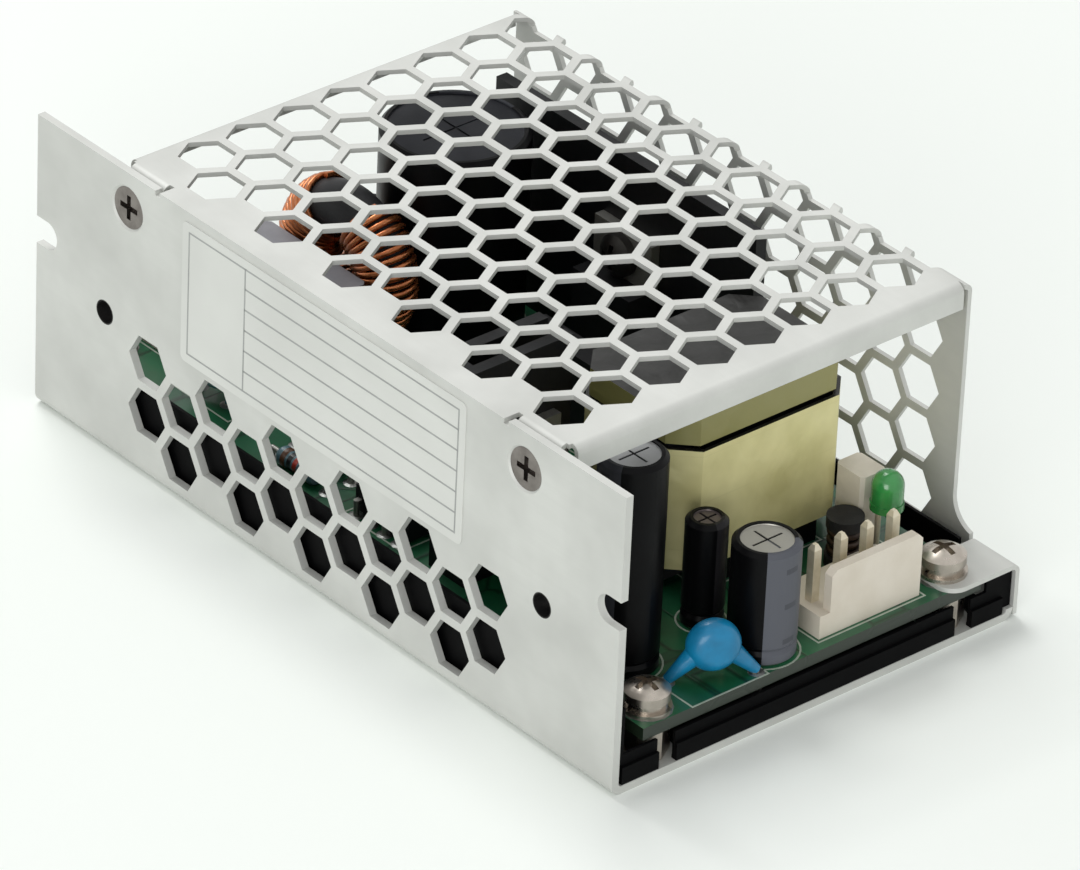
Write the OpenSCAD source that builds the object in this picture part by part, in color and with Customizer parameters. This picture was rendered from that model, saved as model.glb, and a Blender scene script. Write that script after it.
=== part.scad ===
// Enclosed switching power supply: a perforated two-piece sheet case around a populated circuit board.
// +X points out of the output end, -Y out of the label wall and +Z up.
// The origin is under the middle of the base.

/* [Case] */
// Thickness of the chassis sheet
chassis_t = 1; // [0.8:0.1:1.5]
// Thickness of the cover sheet
cover_t = 0.6; // [0.6:0.1:1.2]
// Inside radius of every bend in the sheets
bend_r = 0.5; // [0.3:0.1:1]
// Free height between the board and the cover
headroom = 31.8; // [30:0.1:40]
// Distance from each end of the board to the end of the chassis
end_margin = 0.9; // [0.5:0.1:3]
// Distance from each side of the board to the outside of the case
side_margin = 5.1; // [4.5:0.1:8]
// Gap between sheets that lie against each other
sheet_gap = 0.05; // [0.02:0.01:0.2]
// Height of the chassis upstand inside the cover's side wall
upstand_h = 4.4; // [3:0.1:4.8]
// Length of the label wall left uncovered at the output end
front_bare = 10.95; // [9:0.05:12.5]
// Length of the label wall left uncovered at the input end
rear_bare = 14; // [10:0.1:16]
// Height of the lower edge of the cover's side wall above the base
wall_foot = 0.4; // [0.2:0.1:1]

/* [Cover details] */
// Height of the lip bent down at the output end of the cover's top
lip_h = 3.1; // [2:0.1:4]
// Height of the lip bent down at the input end of the cover's top
rear_lip_h = 1.8; // [1.8:0.1:4]
// Distance from the outside of the label wall to the lips
lip_inset = 2.6; // [2.4:0.1:5]
// Length of the cover's screw tab at the input end
rear_tab_l = 6.2; // [5:0.1:7]
// Length of the cover's screw tab at the output end
front_tab_l = 7.2; // [5:0.1:8]
// Height of the screw tabs, from the top of the cover
tab_h = 9; // [8:0.1:12]
// Distance from each end of the cover to its screw tab
tab_inset = 1.5; // [1.2:0.1:2]
// Width of the relief slots beside the tab bends
relief_w = 0.8; // [0.5:0.1:1.2]
// Length of each ledge along the case
ledge_l = 7; // [6:0.1:8]
// Width of each ledge, from the outside of the case
ledge_w = 10.8; // [10:0.1:14]
// Radius of the inner corner of each ledge
ledge_r = 2.5; // [1:0.1:3]
// Radius of the flare from the side wall down to each ledge
flare_r = 3.9; // [2.5:0.1:4.2]

/* [Vents] */
// Distance between neighbouring vent holes
vent_pitch = 7; // [6:0.1:9]
// Size of a vent hole across its flats
vent_af = 5.9; // [4:0.1:5.9]
// Number of vent columns in the cover
cover_vent_columns = 12; // [4:1:12]
// Number of vents in each column of the cover's top
top_vent_rows = 8; // [3:1:8]
// Number of vents in the longer columns of the side wall
side_vent_rows = 5; // [2:1:5]
// Distance from the label wall to the first vents in the top
top_vent_start = 6.3; // [5.5:0.1:8]
// Shift of the cover's vents towards the output end
cover_vent_x = 0.5; // [-0.5:0.1:1]
// Number of vent columns in the label wall
wall_vent_columns = 11; // [3:2:13]
// Height of the lowest vents in the label wall
wall_vent_z = 5.1; // [5:0.1:7]
// Shift of the label wall's vents along the case
wall_vent_x = -0.5; // [-2:0.1:2]

/* [Label wall holes] */
// Distance between the two mounting holes
mount_spacing = 77.7; // [60:0.1:85]
// Height of the mounting holes above the base
mount_z = 18.6; // [15:0.1:20]
// Diameter of the mounting holes
mount_d = 3.1; // [2.5:0.1:4]
// Height of the end notches above the base
notch_z = 23.7; // [20:0.1:28]
// Width of the end notches
notch_w = 3.6; // [3:0.1:5.5]
// Depth of the end notches
notch_depth = 3.8; // [3:0.1:6]

/* [Fasteners] */
// Diameter of the thread of every screw
screw_d = 3; // [2.5:0.1:3.2]
// Gap around a screw in its hole
screw_gap = 0.2; // [0.1:0.05:0.3]
// Gap around a screw in its thread
thread_gap = 0.03; // [0.02:0.01:0.08]
// Diameter of a pan head
pan_d = 5.4; // [4.5:0.1:6]
// Height of a pan head
pan_h = 2; // [1.5:0.1:2.6]
// Diameter of the flat washers under the board screws
washer_d = 5.8; // [5:0.1:6.2]
// Thickness of the flat washers
washer_t = 0.5; // [0.3:0.1:0.8]
// Diameter of the spring washers under the board screws
spring_d = 4.8; // [4.4:0.1:5.2]
// Thickness of the spring washers
spring_t = 0.9; // [0.6:0.1:1.2]
// Width of the split in a spring washer
spring_split = 0.5; // [0.3:0.1:0.8]
// Width of the cross slots in the screw heads
cross_w = 0.7; // [0.5:0.1:1]
// Depth of the cross slots in the screw heads
cross_depth = 0.9; // [0.5:0.1:1.2]
// Diameter of a countersunk head
flat_head_d = 5.2; // [5:0.1:6]
// Depth of the countersunk heads below the outside of the label wall
flat_head_depth = 0.2; // [0.05:0.05:0.4]
// Distance from the top of the case down to the cover screws
cover_screw_z = 4.7; // [4.2:0.1:5.5]
// Distance between the cover screws
cover_screw_spacing = 70; // [68:0.1:70.5]
// Length of a cover screw
cover_screw_l = 5; // [4:0.1:8]
// Thread length of a board screw below the board
board_screw_l = 3; // [2:0.1:3.6]

/* [Board] */
// Length of the circuit board
board_l = 101.6; // [98:0.1:110]
// Width of the circuit board
board_w = 50.8; // [50:0.1:56]
// Thickness of the circuit board
board_t = 1.6; // [1.2:0.1:2]
// Distance from the board's edges to its screw holes
board_hole_inset = 3.18; // [3:0.01:3.6]
// Height of the standoffs under the board
standoff_h = 4; // [3.6:0.1:6]
// Size of the standoffs across their flats
standoff_af = 5; // [4.8:0.1:6]
// Diameter of the standoff's foot in the floor
standoff_foot_d = 4.2; // [4:0.1:4.8]
// Diameter of the component leads
lead_d = 0.7; // [0.5:0.05:0.9]
// Gap around a lead in its board hole
lead_gap = 0.15; // [0.05:0.05:0.25]
// Length of the leads below the board
lead_tail = 1.4; // [0.8:0.1:1.8]

/* [Insulation film] */
// Thickness of the film
film_t = 0.4; // [0.2:0.05:0.6]
// Height of the folded edge along the film's ends
film_lip_h = 2.2; // [1:0.1:3]
// Height of the film's upturned ends
film_end_h = 3.7; // [1:0.1:3.8]
// Height of the film's upturned ends beside the side wall
film_corner_h = 5.3; // [1:0.1:5.4]
// Height of the film's upturned side by the label wall
film_side_h = 9.8; // [2:0.1:10]
// Height of the film's upturned side by the cover's side wall
film_cover_side_h = 6.6; // [2:0.1:10]
// Distance from the film's ends to the ends of the chassis
film_end_gap = 0.1; // [0:0.1:1]
// Gap around the film where it passes the standoffs and the upstand
film_clear = 0.5; // [0.2:0.1:1]
// Width of the slots in the film's ends, in front of the standoffs
film_slot_w = 2.6; // [2:0.1:4]

/* [Output end] */
// Distance between the header pins
pin_pitch = 3.96; // [3.5:0.02:4]
// Thickness of a header pin
pin_w = 1.1; // [0.8:0.05:1.2]
// Height of the header pins above the board
pin_h = 10.4; // [8:0.1:12]
// Distance from the header's front to its pins
pin_setback = 3.3; // [2.5:0.1:4]
// Number of output pins
output_pin_count = 4; // [2:1:4]
// Depth of the header housings
header_depth = 7.6; // [6.5:0.1:8]
// Height of the header's base
header_base_h = 3; // [2:0.1:4]
// Height of the header's lock wall
header_wall_h = 8.4; // [6:0.1:10]
// Thickness of the header's lock wall
header_wall_t = 1.2; // [0.8:0.1:1.6]
// Length of the header's base left bare beside its lock wall
header_wall_cut = 1.5; // [0.5:0.1:2]
// Distance from the board's end to the headers
header_inset = 1.7; // [1:0.1:2]
// Diameter of the indicator lens
led_d = 3.8; // [3:0.1:4.4]
// Width of the rim around the indicator lens
led_rim = 0.1; // [0.05:0.05:0.3]
// Height of the indicator lens
led_h = 4.9; // [4:0.1:7]
// Height of the indicator above the board
led_stand = 7.1; // [3:0.1:9]
// Share of the front row's free room that lies beside the corner screw
screw_share = 0.31; // [0.2:0.01:0.4]
// Share of the front row's free room that lies beside the indicator
led_share = 0.25; // [0.1:0.01:0.4]
// Diameter of the tall output capacitor
tall_cap_d = 8; // [6.3:0.1:8.6]
// Height of the tall output capacitor
tall_cap_h = 27.6; // [20:0.1:28]
// Diameter of the striped output capacitor
striped_cap_d = 8; // [6.3:0.1:8.6]
// Height of the striped output capacitor
striped_cap_h = 14.6; // [11:0.1:20]
// Diameter of the small output capacitor
small_cap_d = 5; // [4:0.1:6]
// Height of the small output capacitor
small_cap_h = 13.8; // [11:0.1:18]
// Diameter of the rear output capacitor
rear_cap_d = 8; // [6.3:0.1:8.6]
// Height of the rear output capacitor
rear_cap_h = 16; // [11:0.1:20]
// Diameter of the safety disc capacitor
disc_cap_d = 6.4; // [5.5:0.1:8]
// Thickness of the safety disc capacitor
disc_cap_t = 3.6; // [3:0.1:4.2]
// Distance between the disc capacitor's leads
disc_lead_pitch = 10.4; // [8:0.1:11]
// Diameter of the disc capacitor's coated legs at the board
disc_foot_d = 1.2; // [1:0.1:1.6]
// Diameter of the disc capacitor's coated legs at the disc
disc_shoulder_d = 2.8; // [2:0.1:3]
// Width of the beige film capacitor
film_cap_w = 4.6; // [4:0.1:5]
// Thickness of the beige film capacitor
film_cap_t = 3.7; // [2:0.1:3.8]
// Height of the beige film capacitor
film_cap_h = 10.3; // [8:0.1:16]
// Diameter of the output choke's flanges
output_choke_d = 4.4; // [4:0.1:6.2]
// Height of the output choke
output_choke_h = 6.5; // [5.5:0.1:12]

/* [Transformer] */
// Width of the transformer core across the board
core_w = 24.8; // [18:0.1:25.5]
// Depth of the transformer core along the board
core_depth = 13; // [10:0.1:16]
// Height of the transformer core
core_h = 21.4; // [18:0.1:24]
// Thickness of the core's backs and outer legs
core_leg = 3.8; // [3:0.1:4.4]
// Diameter of the core's middle leg
core_post_d = 7.6; // [6:0.1:8]
// Depth of the bobbin flanges along the board
bobbin_depth = 18.6; // [17:0.1:20]
// Thickness of the bobbin's walls
bobbin_t = 0.8; // [0.6:0.1:1.2]
// Thickness of the outer tape
tape_t = 0.5; // [0.3:0.05:0.8]
// Height of the outer tape
tape_h = 15.8; // [14:0.1:18.6]
// Distance from the top of the core down to the outer tape
tape_drop = 3.4; // [3.2:0.1:5]
// Height of the tape band around the top of the core
band_h = 2.9; // [2:0.1:3]
// Distance from the board to the core
core_stand = 1; // [0.5:0.1:2]
// Gap between the transformer's pieces
core_gap = 0.1; // [0.05:0.01:0.2]

/* [Input end] */
// Number of input pin places
input_pin_places = 3; // [2:1:3]
// Diameter of the bulk capacitor
bulk_cap_d = 18; // [14:0.1:19]
// Height of the bulk capacitor
bulk_cap_h = 27; // [20:0.1:28]
// Mean diameter of the line choke's ring
choke_ring_d = 14; // [13:0.1:14.6]
// Diameter of the ring's round section
choke_section_d = 6; // [4:0.1:6.2]
// Diameter of the line choke's wire
choke_wire_d = 0.8; // [0.5:0.05:0.85]
// Turns in each of the line choke's two windings
choke_turns = 9; // [4:1:9]
// Thickness of the line choke's base plate
choke_base_t = 1.2; // [0.8:0.1:2]
// Length of the line filter capacitor
filter_cap_l = 18; // [14:0.1:19]
// Thickness of the line filter capacitor
filter_cap_t = 7.6; // [5:0.1:8.4]
// Height of the line filter capacitor
filter_cap_h = 14.5; // [10:0.1:18]
// Diameter of the line fuse
fuse_d = 7.4; // [6:0.1:8]
// Height of the line fuse
fuse_h = 8; // [6:0.1:10]
// Diameter of the surge varistor
varistor_d = 10; // [7:0.1:11]
// Diameter of the inrush thermistor
thermistor_d = 8.5; // [7:0.1:10]
// Thickness of the varistor and the thermistor
line_disc_t = 3.8; // [3:0.1:4.4]
// Length of the bridge rectifier
bridge_l = 14; // [12:0.1:15]
// Height of the bridge rectifier
bridge_h = 10; // [8:0.1:12]
// Thickness of the bridge rectifier
bridge_t = 3.4; // [3:0.1:3.8]

/* [Heatsinks and semiconductors] */
// Length of the primary heatsink
primary_sink_l = 46; // [28:0.1:47]
// Height of the heatsinks
sink_h = 28; // [20:0.1:29]
// Thickness of the heatsink plates
sink_t = 1.6; // [1:0.1:2]
// Width of the output heatsink across the board
output_sink_w = 15; // [13:0.1:16]
// Depth of the output heatsink's channel
output_sink_depth = 6; // [5:0.1:7]
// Width of a power transistor
power_w = 10; // [9:0.1:10.4]
// Thickness of a power transistor
power_t = 4.4; // [4:0.1:4.8]
// Height of a power transistor's body
power_h = 9; // [8:0.1:10]
// Length of a power transistor's metal tab above its body
power_tab_l = 6.2; // [5.6:0.1:7]
// Thickness of a power transistor's metal tab
power_tab_t = 1.3; // [1:0.1:1.5]
// Height of a power transistor above the board
power_stand = 4; // [2:0.1:6]
// Distance between small lead rows
lead_pitch = 2.54; // [2:0.01:2.6]
// Length of the control chip
chip_l = 9.4; // [8:0.1:10]
// Length of the optocoupler
coupler_l = 4.6; // [4:0.1:6]
// Width of the control chip and the optocoupler
chip_w = 6.4; // [5:0.1:6.6]
// Height of the chips above the board
chip_h = 3.6; // [3:0.1:4]
// Diameter of the supply capacitor
supply_cap_d = 5; // [4:0.1:6]
// Height of the supply capacitor
supply_cap_h = 11; // [9:0.1:16]
// Length of an axial resistor's body
resistor_l = 6.4; // [5:0.1:7]
// Diameter of an axial resistor's body
resistor_d = 2.4; // [2:0.1:2.8]
// Number of axial resistors
resistor_count = 3; // [1:1:3]

/* [Hidden] */
$fn = 48;
// A cut reaches this far past the face that it opens
eps = 0.5;

// Overall size of the case
case_l = board_l + 2 * end_margin;
case_w = board_w + 2 * side_margin;
board_z0 = chassis_t + standoff_h;
board_z1 = board_z0 + board_t;
case_h = board_z1 + headroom + cover_t;
cover_under = case_h - cover_t;
half_l = case_l / 2;
half_w = case_w / 2;
chassis_ro = bend_r + chassis_t;
cover_ro = bend_r + cover_t;

// Ends and tabs of the cover
cover_x0 = -half_l + rear_bare;
cover_x1 = half_l - front_bare;
flat_x0 = cover_x0 + cover_ro;
flat_x1 = cover_x1 - cover_ro;
rear_tab_x0 = cover_x0 + tab_inset;
rear_tab_x1 = rear_tab_x0 + rear_tab_l;
front_tab_x1 = cover_x1 - tab_inset;
front_tab_x0 = front_tab_x1 - front_tab_l;
seat_x0 = rear_tab_x1 + relief_w;
seat_x1 = front_tab_x0 - relief_w;
tab_y0 = -half_w + chassis_t + sheet_gap;
side_y0 = half_w - cover_t;
upstand_y1 = side_y0 - sheet_gap;
upstand_x1 = half_l - film_end_gap - 2 * film_t - film_clear;
ledge_top = board_z1 + cover_t;
ledge_x0 = half_l - ledge_l;
flare_z = ledge_top + flare_r;

// Honeycomb of the vents, laid out on the flat sheet before it is bent
vent_step = vent_pitch * sqrt(3) / 2;
vent_r = vent_af / sqrt(3);
bend_start = half_w - cover_ro;
bend_length = (bend_r + cover_t / 2) * 90 * PI / 180;
side_top = case_h - cover_ro;
cover_vent_x0 = cover_vent_x - (cover_vent_columns - 1) / 2 * vent_step;
wall_vent_x0 = wall_vent_x - (wall_vent_columns - 1) / 2 * vent_step;

// Height on the side wall of a point that lies at flat_y on the flat sheet
function wall_height(flat_y) = side_top - (flat_y - bend_start - bend_length);

// Screw places, as [x, y] on the board
hole_x = board_l / 2 - board_hole_inset;
hole_y = board_w / 2 - board_hole_inset;
board_holes = [for (sx = [-1, 1], sy = [-1, 1]) [sx * hole_x, sy * hole_y]];
cover_screw_x = [-cover_screw_spacing / 2, cover_screw_spacing / 2];
cover_screw_h = case_h - cover_screw_z;

// Places on the board, measured from its four edges
front = board_l / 2;
rear = -board_l / 2;
left = -board_w / 2;
right = board_w / 2;
output_header_x = front - header_inset;
input_header_x = rear + header_inset;
input_header_y = left + 12.6;
output_header_w = output_pin_count * pin_pitch - 0.6;
input_header_w = input_pin_places * pin_pitch - 0.6;
led_x = front - 9.6;
led_y = right - 6.4;
tall_cap_x = front - 11.5;
tall_cap_y = left + 7;
small_cap_x = front - 12.7;
small_cap_y = left + 19.7;
rear_cap_x = front - 21;
rear_cap_y = left + 12.2;
film_cap_x = front - 14.3;
film_cap_y = right - 6.25;
output_choke_x = front - 9.7 - output_choke_d / 2;
output_choke_y = film_cap_y - film_cap_t / 2 - 0.2 - output_choke_d / 2;
transformer_x = front - 26.8;
transformer_y = left + 32.7;
fuse_x = rear + 6.2;
fuse_y = right - 11.8;
varistor_x = rear + 18.8;
varistor_y = left + 5.9;
thermistor_x = rear + 38.8;
thermistor_y = left + 23.4;
primary_sink_x0 = rear + 18;
primary_sink_y = right - 2.6;
primary_transistor_x = rear + 42.8;

// Input group: bulk capacitor, choke and filter capacitor side by side, from the board's right edge
input_gap = 0.4;
choke_half_w = choke_section_d / 2 + choke_wire_d;
bulk_cap_x = rear + 22.8;
bulk_cap_y = right - 3.8 - bulk_cap_d / 2;
choke_x = rear + 19.8;
choke_y = bulk_cap_y - bulk_cap_d / 2 - input_gap - choke_half_w;
filter_cap_x = rear + 19.2;
filter_cap_y = choke_y - choke_half_w - input_gap - filter_cap_t / 2;
bridge_x = (bulk_cap_x + bulk_cap_d / 2 + transformer_x - bobbin_depth / 2 - core_gap - tape_t) / 2;
bridge_y = left + 33.4;

// Front row: disc and striped capacitors and the header, between the corner screw and the indicator
disc_cap_x = front - 3.2;
disc_cap_turn = 65;
disc_cap_lift = 1.2;
striped_cap_x = front - 4.4;
disc_reach = disc_lead_pitch * sin(disc_cap_turn) / 2 + disc_foot_d / 2;
disc_to_striped = 8.4;
front_y0 = left + board_hole_inset + pan_d / 2;
front_y1 = led_y - lead_d / 2;
front_free = front_y1 - front_y0 - disc_reach - disc_to_striped - striped_cap_d / 2 - output_header_w;
disc_cap_y = front_y0 + front_free * screw_share + disc_reach;
striped_cap_y = disc_cap_y + disc_to_striped;
output_header_y = front_y1 - front_free * led_share - output_header_w / 2;

// Left row: resistors, chip and heatsink with even gaps between the filter and the rear capacitor
resistor_span = resistor_l + 3.6;
resistor_room = resistor_span + lead_d;
row_x0 = filter_cap_x + filter_cap_l / 2;
row_x1 = rear_cap_x - rear_cap_d / 2;
row_gap = (row_x1 - row_x0 - resistor_room - chip_l - output_sink_depth - power_t) / 4;
resistor_x = row_x0 + row_gap + resistor_room / 2;
resistor_y0 = left + 3;
resistor_step = 3.6;
supply_cap_x = resistor_x + 2.6;
supply_cap_y = left + 15;
chip_x = resistor_x + resistor_room / 2 + row_gap + chip_l / 2;
chip_y = left + 6.4;
coupler_x = chip_x;
coupler_y = left + 16.4;
output_sink_x = chip_x + chip_l / 2 + row_gap + output_sink_depth;
output_sink_y = left + 10;

heatsink_screw_z = board_z1 + power_stand + power_h + power_tab_l / 2;

// Lead places, as [x, y] on the board
function pair(x, y, pitch, turn = 0) =
    [for (s = [-0.5, 0.5]) [x + s * pitch * cos(turn), y + s * pitch * sin(turn)]];
function lead_row(x, y, count, pitch, turn = 0) =
    [for (i = [0:count - 1])
        let (run = (i - (count - 1) / 2) * pitch)
        [x + run * cos(turn), y + run * sin(turn)]];
function chip_leads(x, y, count) =
    [for (sy = [-1, 1], p = lead_row(x, y, count, lead_pitch)) [p[0], p[1] + sy * chip_row / 2]];
chip_row = chip_w + 1.2;
output_pins = lead_row(output_header_x - pin_setback, output_header_y, output_pin_count, pin_pitch, 90);
input_pins = pair(input_header_x + pin_setback, input_header_y, (input_pin_places - 1) * pin_pitch, 90);
led_leads = pair(led_x, led_y, lead_pitch);
tall_leads = pair(tall_cap_x, tall_cap_y, tall_cap_d * 0.44);
striped_leads = pair(striped_cap_x, striped_cap_y, striped_cap_d * 0.44, 90);
small_leads = pair(small_cap_x, small_cap_y, small_cap_d * 0.4);
rear_cap_leads = pair(rear_cap_x, rear_cap_y, rear_cap_d * 0.44);
supply_leads = pair(supply_cap_x, supply_cap_y, supply_cap_d * 0.4);
bulk_leads = pair(bulk_cap_x, bulk_cap_y, bulk_cap_d * 0.42);
disc_leads = pair(disc_cap_x, disc_cap_y, disc_lead_pitch, disc_cap_turn);
film_cap_leads = pair(film_cap_x, film_cap_y, film_cap_w * 0.7);
filter_leads = pair(filter_cap_x, filter_cap_y, filter_cap_l * 0.84);
fuse_leads = pair(fuse_x, fuse_y, fuse_d * 0.6);
varistor_leads = pair(varistor_x, varistor_y, varistor_d * 0.5);
thermistor_leads = pair(thermistor_x, thermistor_y, thermistor_d * 0.5);
bridge_leads = lead_row(bridge_x, bridge_y, 4, bridge_l * 0.26);
primary_leads = lead_row(primary_transistor_x, primary_sink_y - power_t / 2, 3, lead_pitch);
rectifier_leads = lead_row(output_sink_x + power_t / 2, output_sink_y, 3, lead_pitch, 90);
resistor_leads = [for (i = [0:resistor_count - 1])
    each pair(resistor_x, resistor_y0 + i * resistor_step, resistor_span)];
wire_leads = concat(led_leads, tall_leads, striped_leads, small_leads, rear_cap_leads, supply_leads,
    bulk_leads, disc_leads, film_cap_leads, filter_leads, fuse_leads, varistor_leads, thermistor_leads,
    bridge_leads, primary_leads, rectifier_leads, resistor_leads, chip_leads(chip_x, chip_y, 4),
    chip_leads(coupler_x, coupler_y, 2));
header_leads = concat(output_pins, input_pins);

// Quarter ring that joins two sheets in a bend, in the first quadrant around the bend's centre
module bend_ring(t) {
    intersection() {
        difference() {
            circle(r = bend_r + t);
            circle(r = bend_r);
        }
        square(bend_r + t);
    }
}

// Extrusion of an outline drawn in Y and Z along X, from x0 to x1
module along_x(x0, x1) {
    translate([x0, 0, 0])
        rotate([90, 0, 90])
            linear_extrude(x1 - x0)
                children();
}

// Extrusion of an outline drawn in X and Z along Y, from y0 to y1
module along_y(y0, y1) {
    translate([0, y1, 0])
        rotate([90, 0, 0])
            linear_extrude(y1 - y0)
                children();
}

// Rectangle between two corners
module rect(x0, y0, x1, y1) {
    translate([x0, y0])
        square([x1 - x0, y1 - y0]);
}

// Block between two corners
module block(low, high) {
    translate(low)
        cube(high - low);
}

// Hexagonal cutter of the vents, standing on its base, with points along X
module vent(h) {
    cylinder(r = vent_r, h = h, $fn = 6);
}

// Chassis: floor, label wall and upstand
module label_wall_outline() {
    difference() {
        rect(-half_l, chassis_ro, half_l, case_h);
        rect(seat_x0 - relief_w, cover_under, seat_x1 + relief_w, case_h + eps);
        for (s = [-1, 1]) {
            translate([s * half_l, notch_z])
                union() {
                    square([2 * (notch_depth - notch_w / 2), notch_w], center = true);
                    translate([-s * (notch_depth - notch_w / 2), 0])
                        circle(d = notch_w);
                }
            translate([s * mount_spacing / 2, mount_z])
                circle(d = mount_d);
        }
    }
}

module label_wall_vents() {
    for (i = [0:wall_vent_columns - 1], k = [0, 1])
        translate([wall_vent_x0 + i * vent_step, -half_w + chassis_t + eps, 0])
            translate([0, 0, wall_vent_z + k * vent_pitch + (i % 2 == 0 ? vent_pitch / 2 : 0)])
                rotate([90, 0, 0])
                    vent(chassis_t + 2 * eps);
}

// Countersunk holes for the cover screws, from the outside of the label wall inwards
module cover_screw_holes(shank_d) {
    sink_d = flat_head_d + 2 * (flat_head_depth + sheet_gap);
    for (x = cover_screw_x)
        translate([x, -half_w, cover_screw_h])
            rotate([-90, 0, 0]) {
                translate([0, 0, -eps])
                    cylinder(d = shank_d, h = chassis_t + cover_t + 2 * eps);
                translate([0, 0, -eps])
                    cylinder(d1 = sink_d + 2 * eps, d2 = shank_d, h = eps + (sink_d - shank_d) / 2);
            }
}

module chassis() {
    color([0.8, 0.81, 0.8])
        difference() {
            union() {
                block([-half_l, -half_w + chassis_ro, 0], [half_l, upstand_y1 - chassis_ro, chassis_t]);
                along_x(-half_l, half_l)
                    translate([-half_w + chassis_ro, chassis_ro])
                        rotate(180)
                            bend_ring(chassis_t);
                along_x(-half_l, half_l)
                    translate([upstand_y1 - chassis_ro, chassis_ro])
                        rotate(270)
                            bend_ring(chassis_t);
                block([-upstand_x1, upstand_y1 - chassis_t, chassis_ro],
                    [upstand_x1, upstand_y1, upstand_h]);
                along_y(-half_w, -half_w + chassis_t)
                    label_wall_outline();
            }
            label_wall_vents();
            cover_screw_holes(screw_d + 2 * screw_gap);
            for (p = board_holes)
                translate([p[0], p[1], -eps])
                    cylinder(d = standoff_foot_d, h = chassis_t + 2 * eps);
        }
}

// Cover: perforated top and side wall with lips, screw tabs and board ledges
module cover_lip(h) {
    y0 = -half_w + lip_inset;
    y1 = bend_start - 2 * sheet_gap;
    translate([cover_x1 - cover_ro, 0, case_h - cover_ro]) {
        along_y(y0, y1)
            bend_ring(cover_t);
        block([bend_r, y0, cover_ro - h], [cover_ro, y1, 0]);
    }
}

module cover_tab(x0, x1) {
    difference() {
        union() {
            along_x(x0, x1)
                translate([tab_y0 + cover_ro, case_h - cover_ro])
                    rotate(90)
                        bend_ring(cover_t);
            block([x0, tab_y0, case_h - tab_h], [x1, tab_y0 + cover_t, case_h - cover_ro]);
        }
        cover_screw_holes(screw_d + 2 * thread_gap);
    }
}

module cover_top() {
    block([flat_x0, tab_y0 + cover_ro, cover_under], [flat_x1, bend_start, case_h]);
    block([seat_x0, -half_w, cover_under], [seat_x1, tab_y0 + cover_ro, case_h]);
    cover_lip(lip_h);
    translate([cover_x0 + cover_x1, 0, 0])
        mirror([1, 0, 0])
            cover_lip(rear_lip_h);
    cover_tab(rear_tab_x0, rear_tab_x1);
    cover_tab(front_tab_x0, front_tab_x1);
}

module side_wall_outline() {
    rect(cover_x0, wall_foot, cover_x1, side_top);
    rect(-half_l, wall_foot, half_l, ledge_top - cover_ro);
    for (s = [0, 1])
        translate([s * (cover_x0 + cover_x1), 0])
            mirror([s, 0, 0])
                difference() {
                    rect(cover_x1 - eps, ledge_top - cover_ro - eps, cover_x1 + flare_r - relief_w, flare_z);
                    translate([cover_x1 + flare_r, flare_z])
                        circle(r = flare_r);
                }
}

module ledge() {
    inner = half_w - ledge_w;
    along_x(ledge_x0, half_l)
        translate([half_w - cover_ro, ledge_top - cover_ro])
            bend_ring(cover_t);
    translate([0, 0, board_z1])
        linear_extrude(cover_t)
            difference() {
                rect(ledge_x0, inner, half_l, half_w - cover_ro);
                translate([half_l - ledge_r, inner + ledge_r])
                    difference() {
                        rect(0, -ledge_r - eps, ledge_r + eps, 0);
                        circle(r = ledge_r);
                    }
                translate([hole_x, hole_y])
                    circle(d = screw_d + 2 * screw_gap);
            }
}

module cover_vents() {
    for (i = [0:cover_vent_columns - 1]) {
        long = i % 2 == 1;
        first = -half_w + top_vent_start + (long ? 0 : vent_pitch / 2);
        side_rows = long ? side_vent_rows : side_vent_rows - 1;
        for (k = [0:top_vent_rows + side_rows - 1]) {
            flat_y = first + k * vent_pitch;
            translate([cover_vent_x0 + i * vent_step, 0, 0]) {
                if (flat_y - vent_af / 2 < bend_start + bend_length)
                    translate([0, flat_y, side_top])
                        vent(cover_ro + eps);
                if (flat_y + vent_af / 2 > bend_start + bend_length)
                    intersection() {
                        translate([0, half_w + eps, wall_height(flat_y)])
                            rotate([90, 0, 0])
                                vent(cover_ro + 2 * eps);
                        block([-vent_r, side_y0 - cover_ro, 0], [vent_r, half_w + eps, side_top]);
                    }
            }
        }
    }
}

module cover() {
    color([0.83, 0.84, 0.83])
        difference() {
            union() {
                cover_top();
                along_x(cover_x0, cover_x1)
                    translate([bend_start, side_top])
                        bend_ring(cover_t);
                along_y(side_y0, half_w)
                    side_wall_outline();
                ledge();
                mirror([1, 0, 0])
                    ledge();
            }
            cover_vents();
        }
}

// Insulation film: a tray under the board with upturned sides and folded ends
module film_end(y0, y1) {
    x1 = half_l - film_end_gap;
    x0 = x1 - film_t;
    block([x0, y0, chassis_t], [x1, y1, chassis_t + film_lip_h]);
    block([x0 - film_t, y0, chassis_t], [x0, y1, chassis_t + film_end_h]);
    block([x0 - film_t, right + eps, chassis_ro + sheet_gap],
        [x0, side_y0 - 2 * sheet_gap, chassis_t + film_corner_h]);
}

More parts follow.
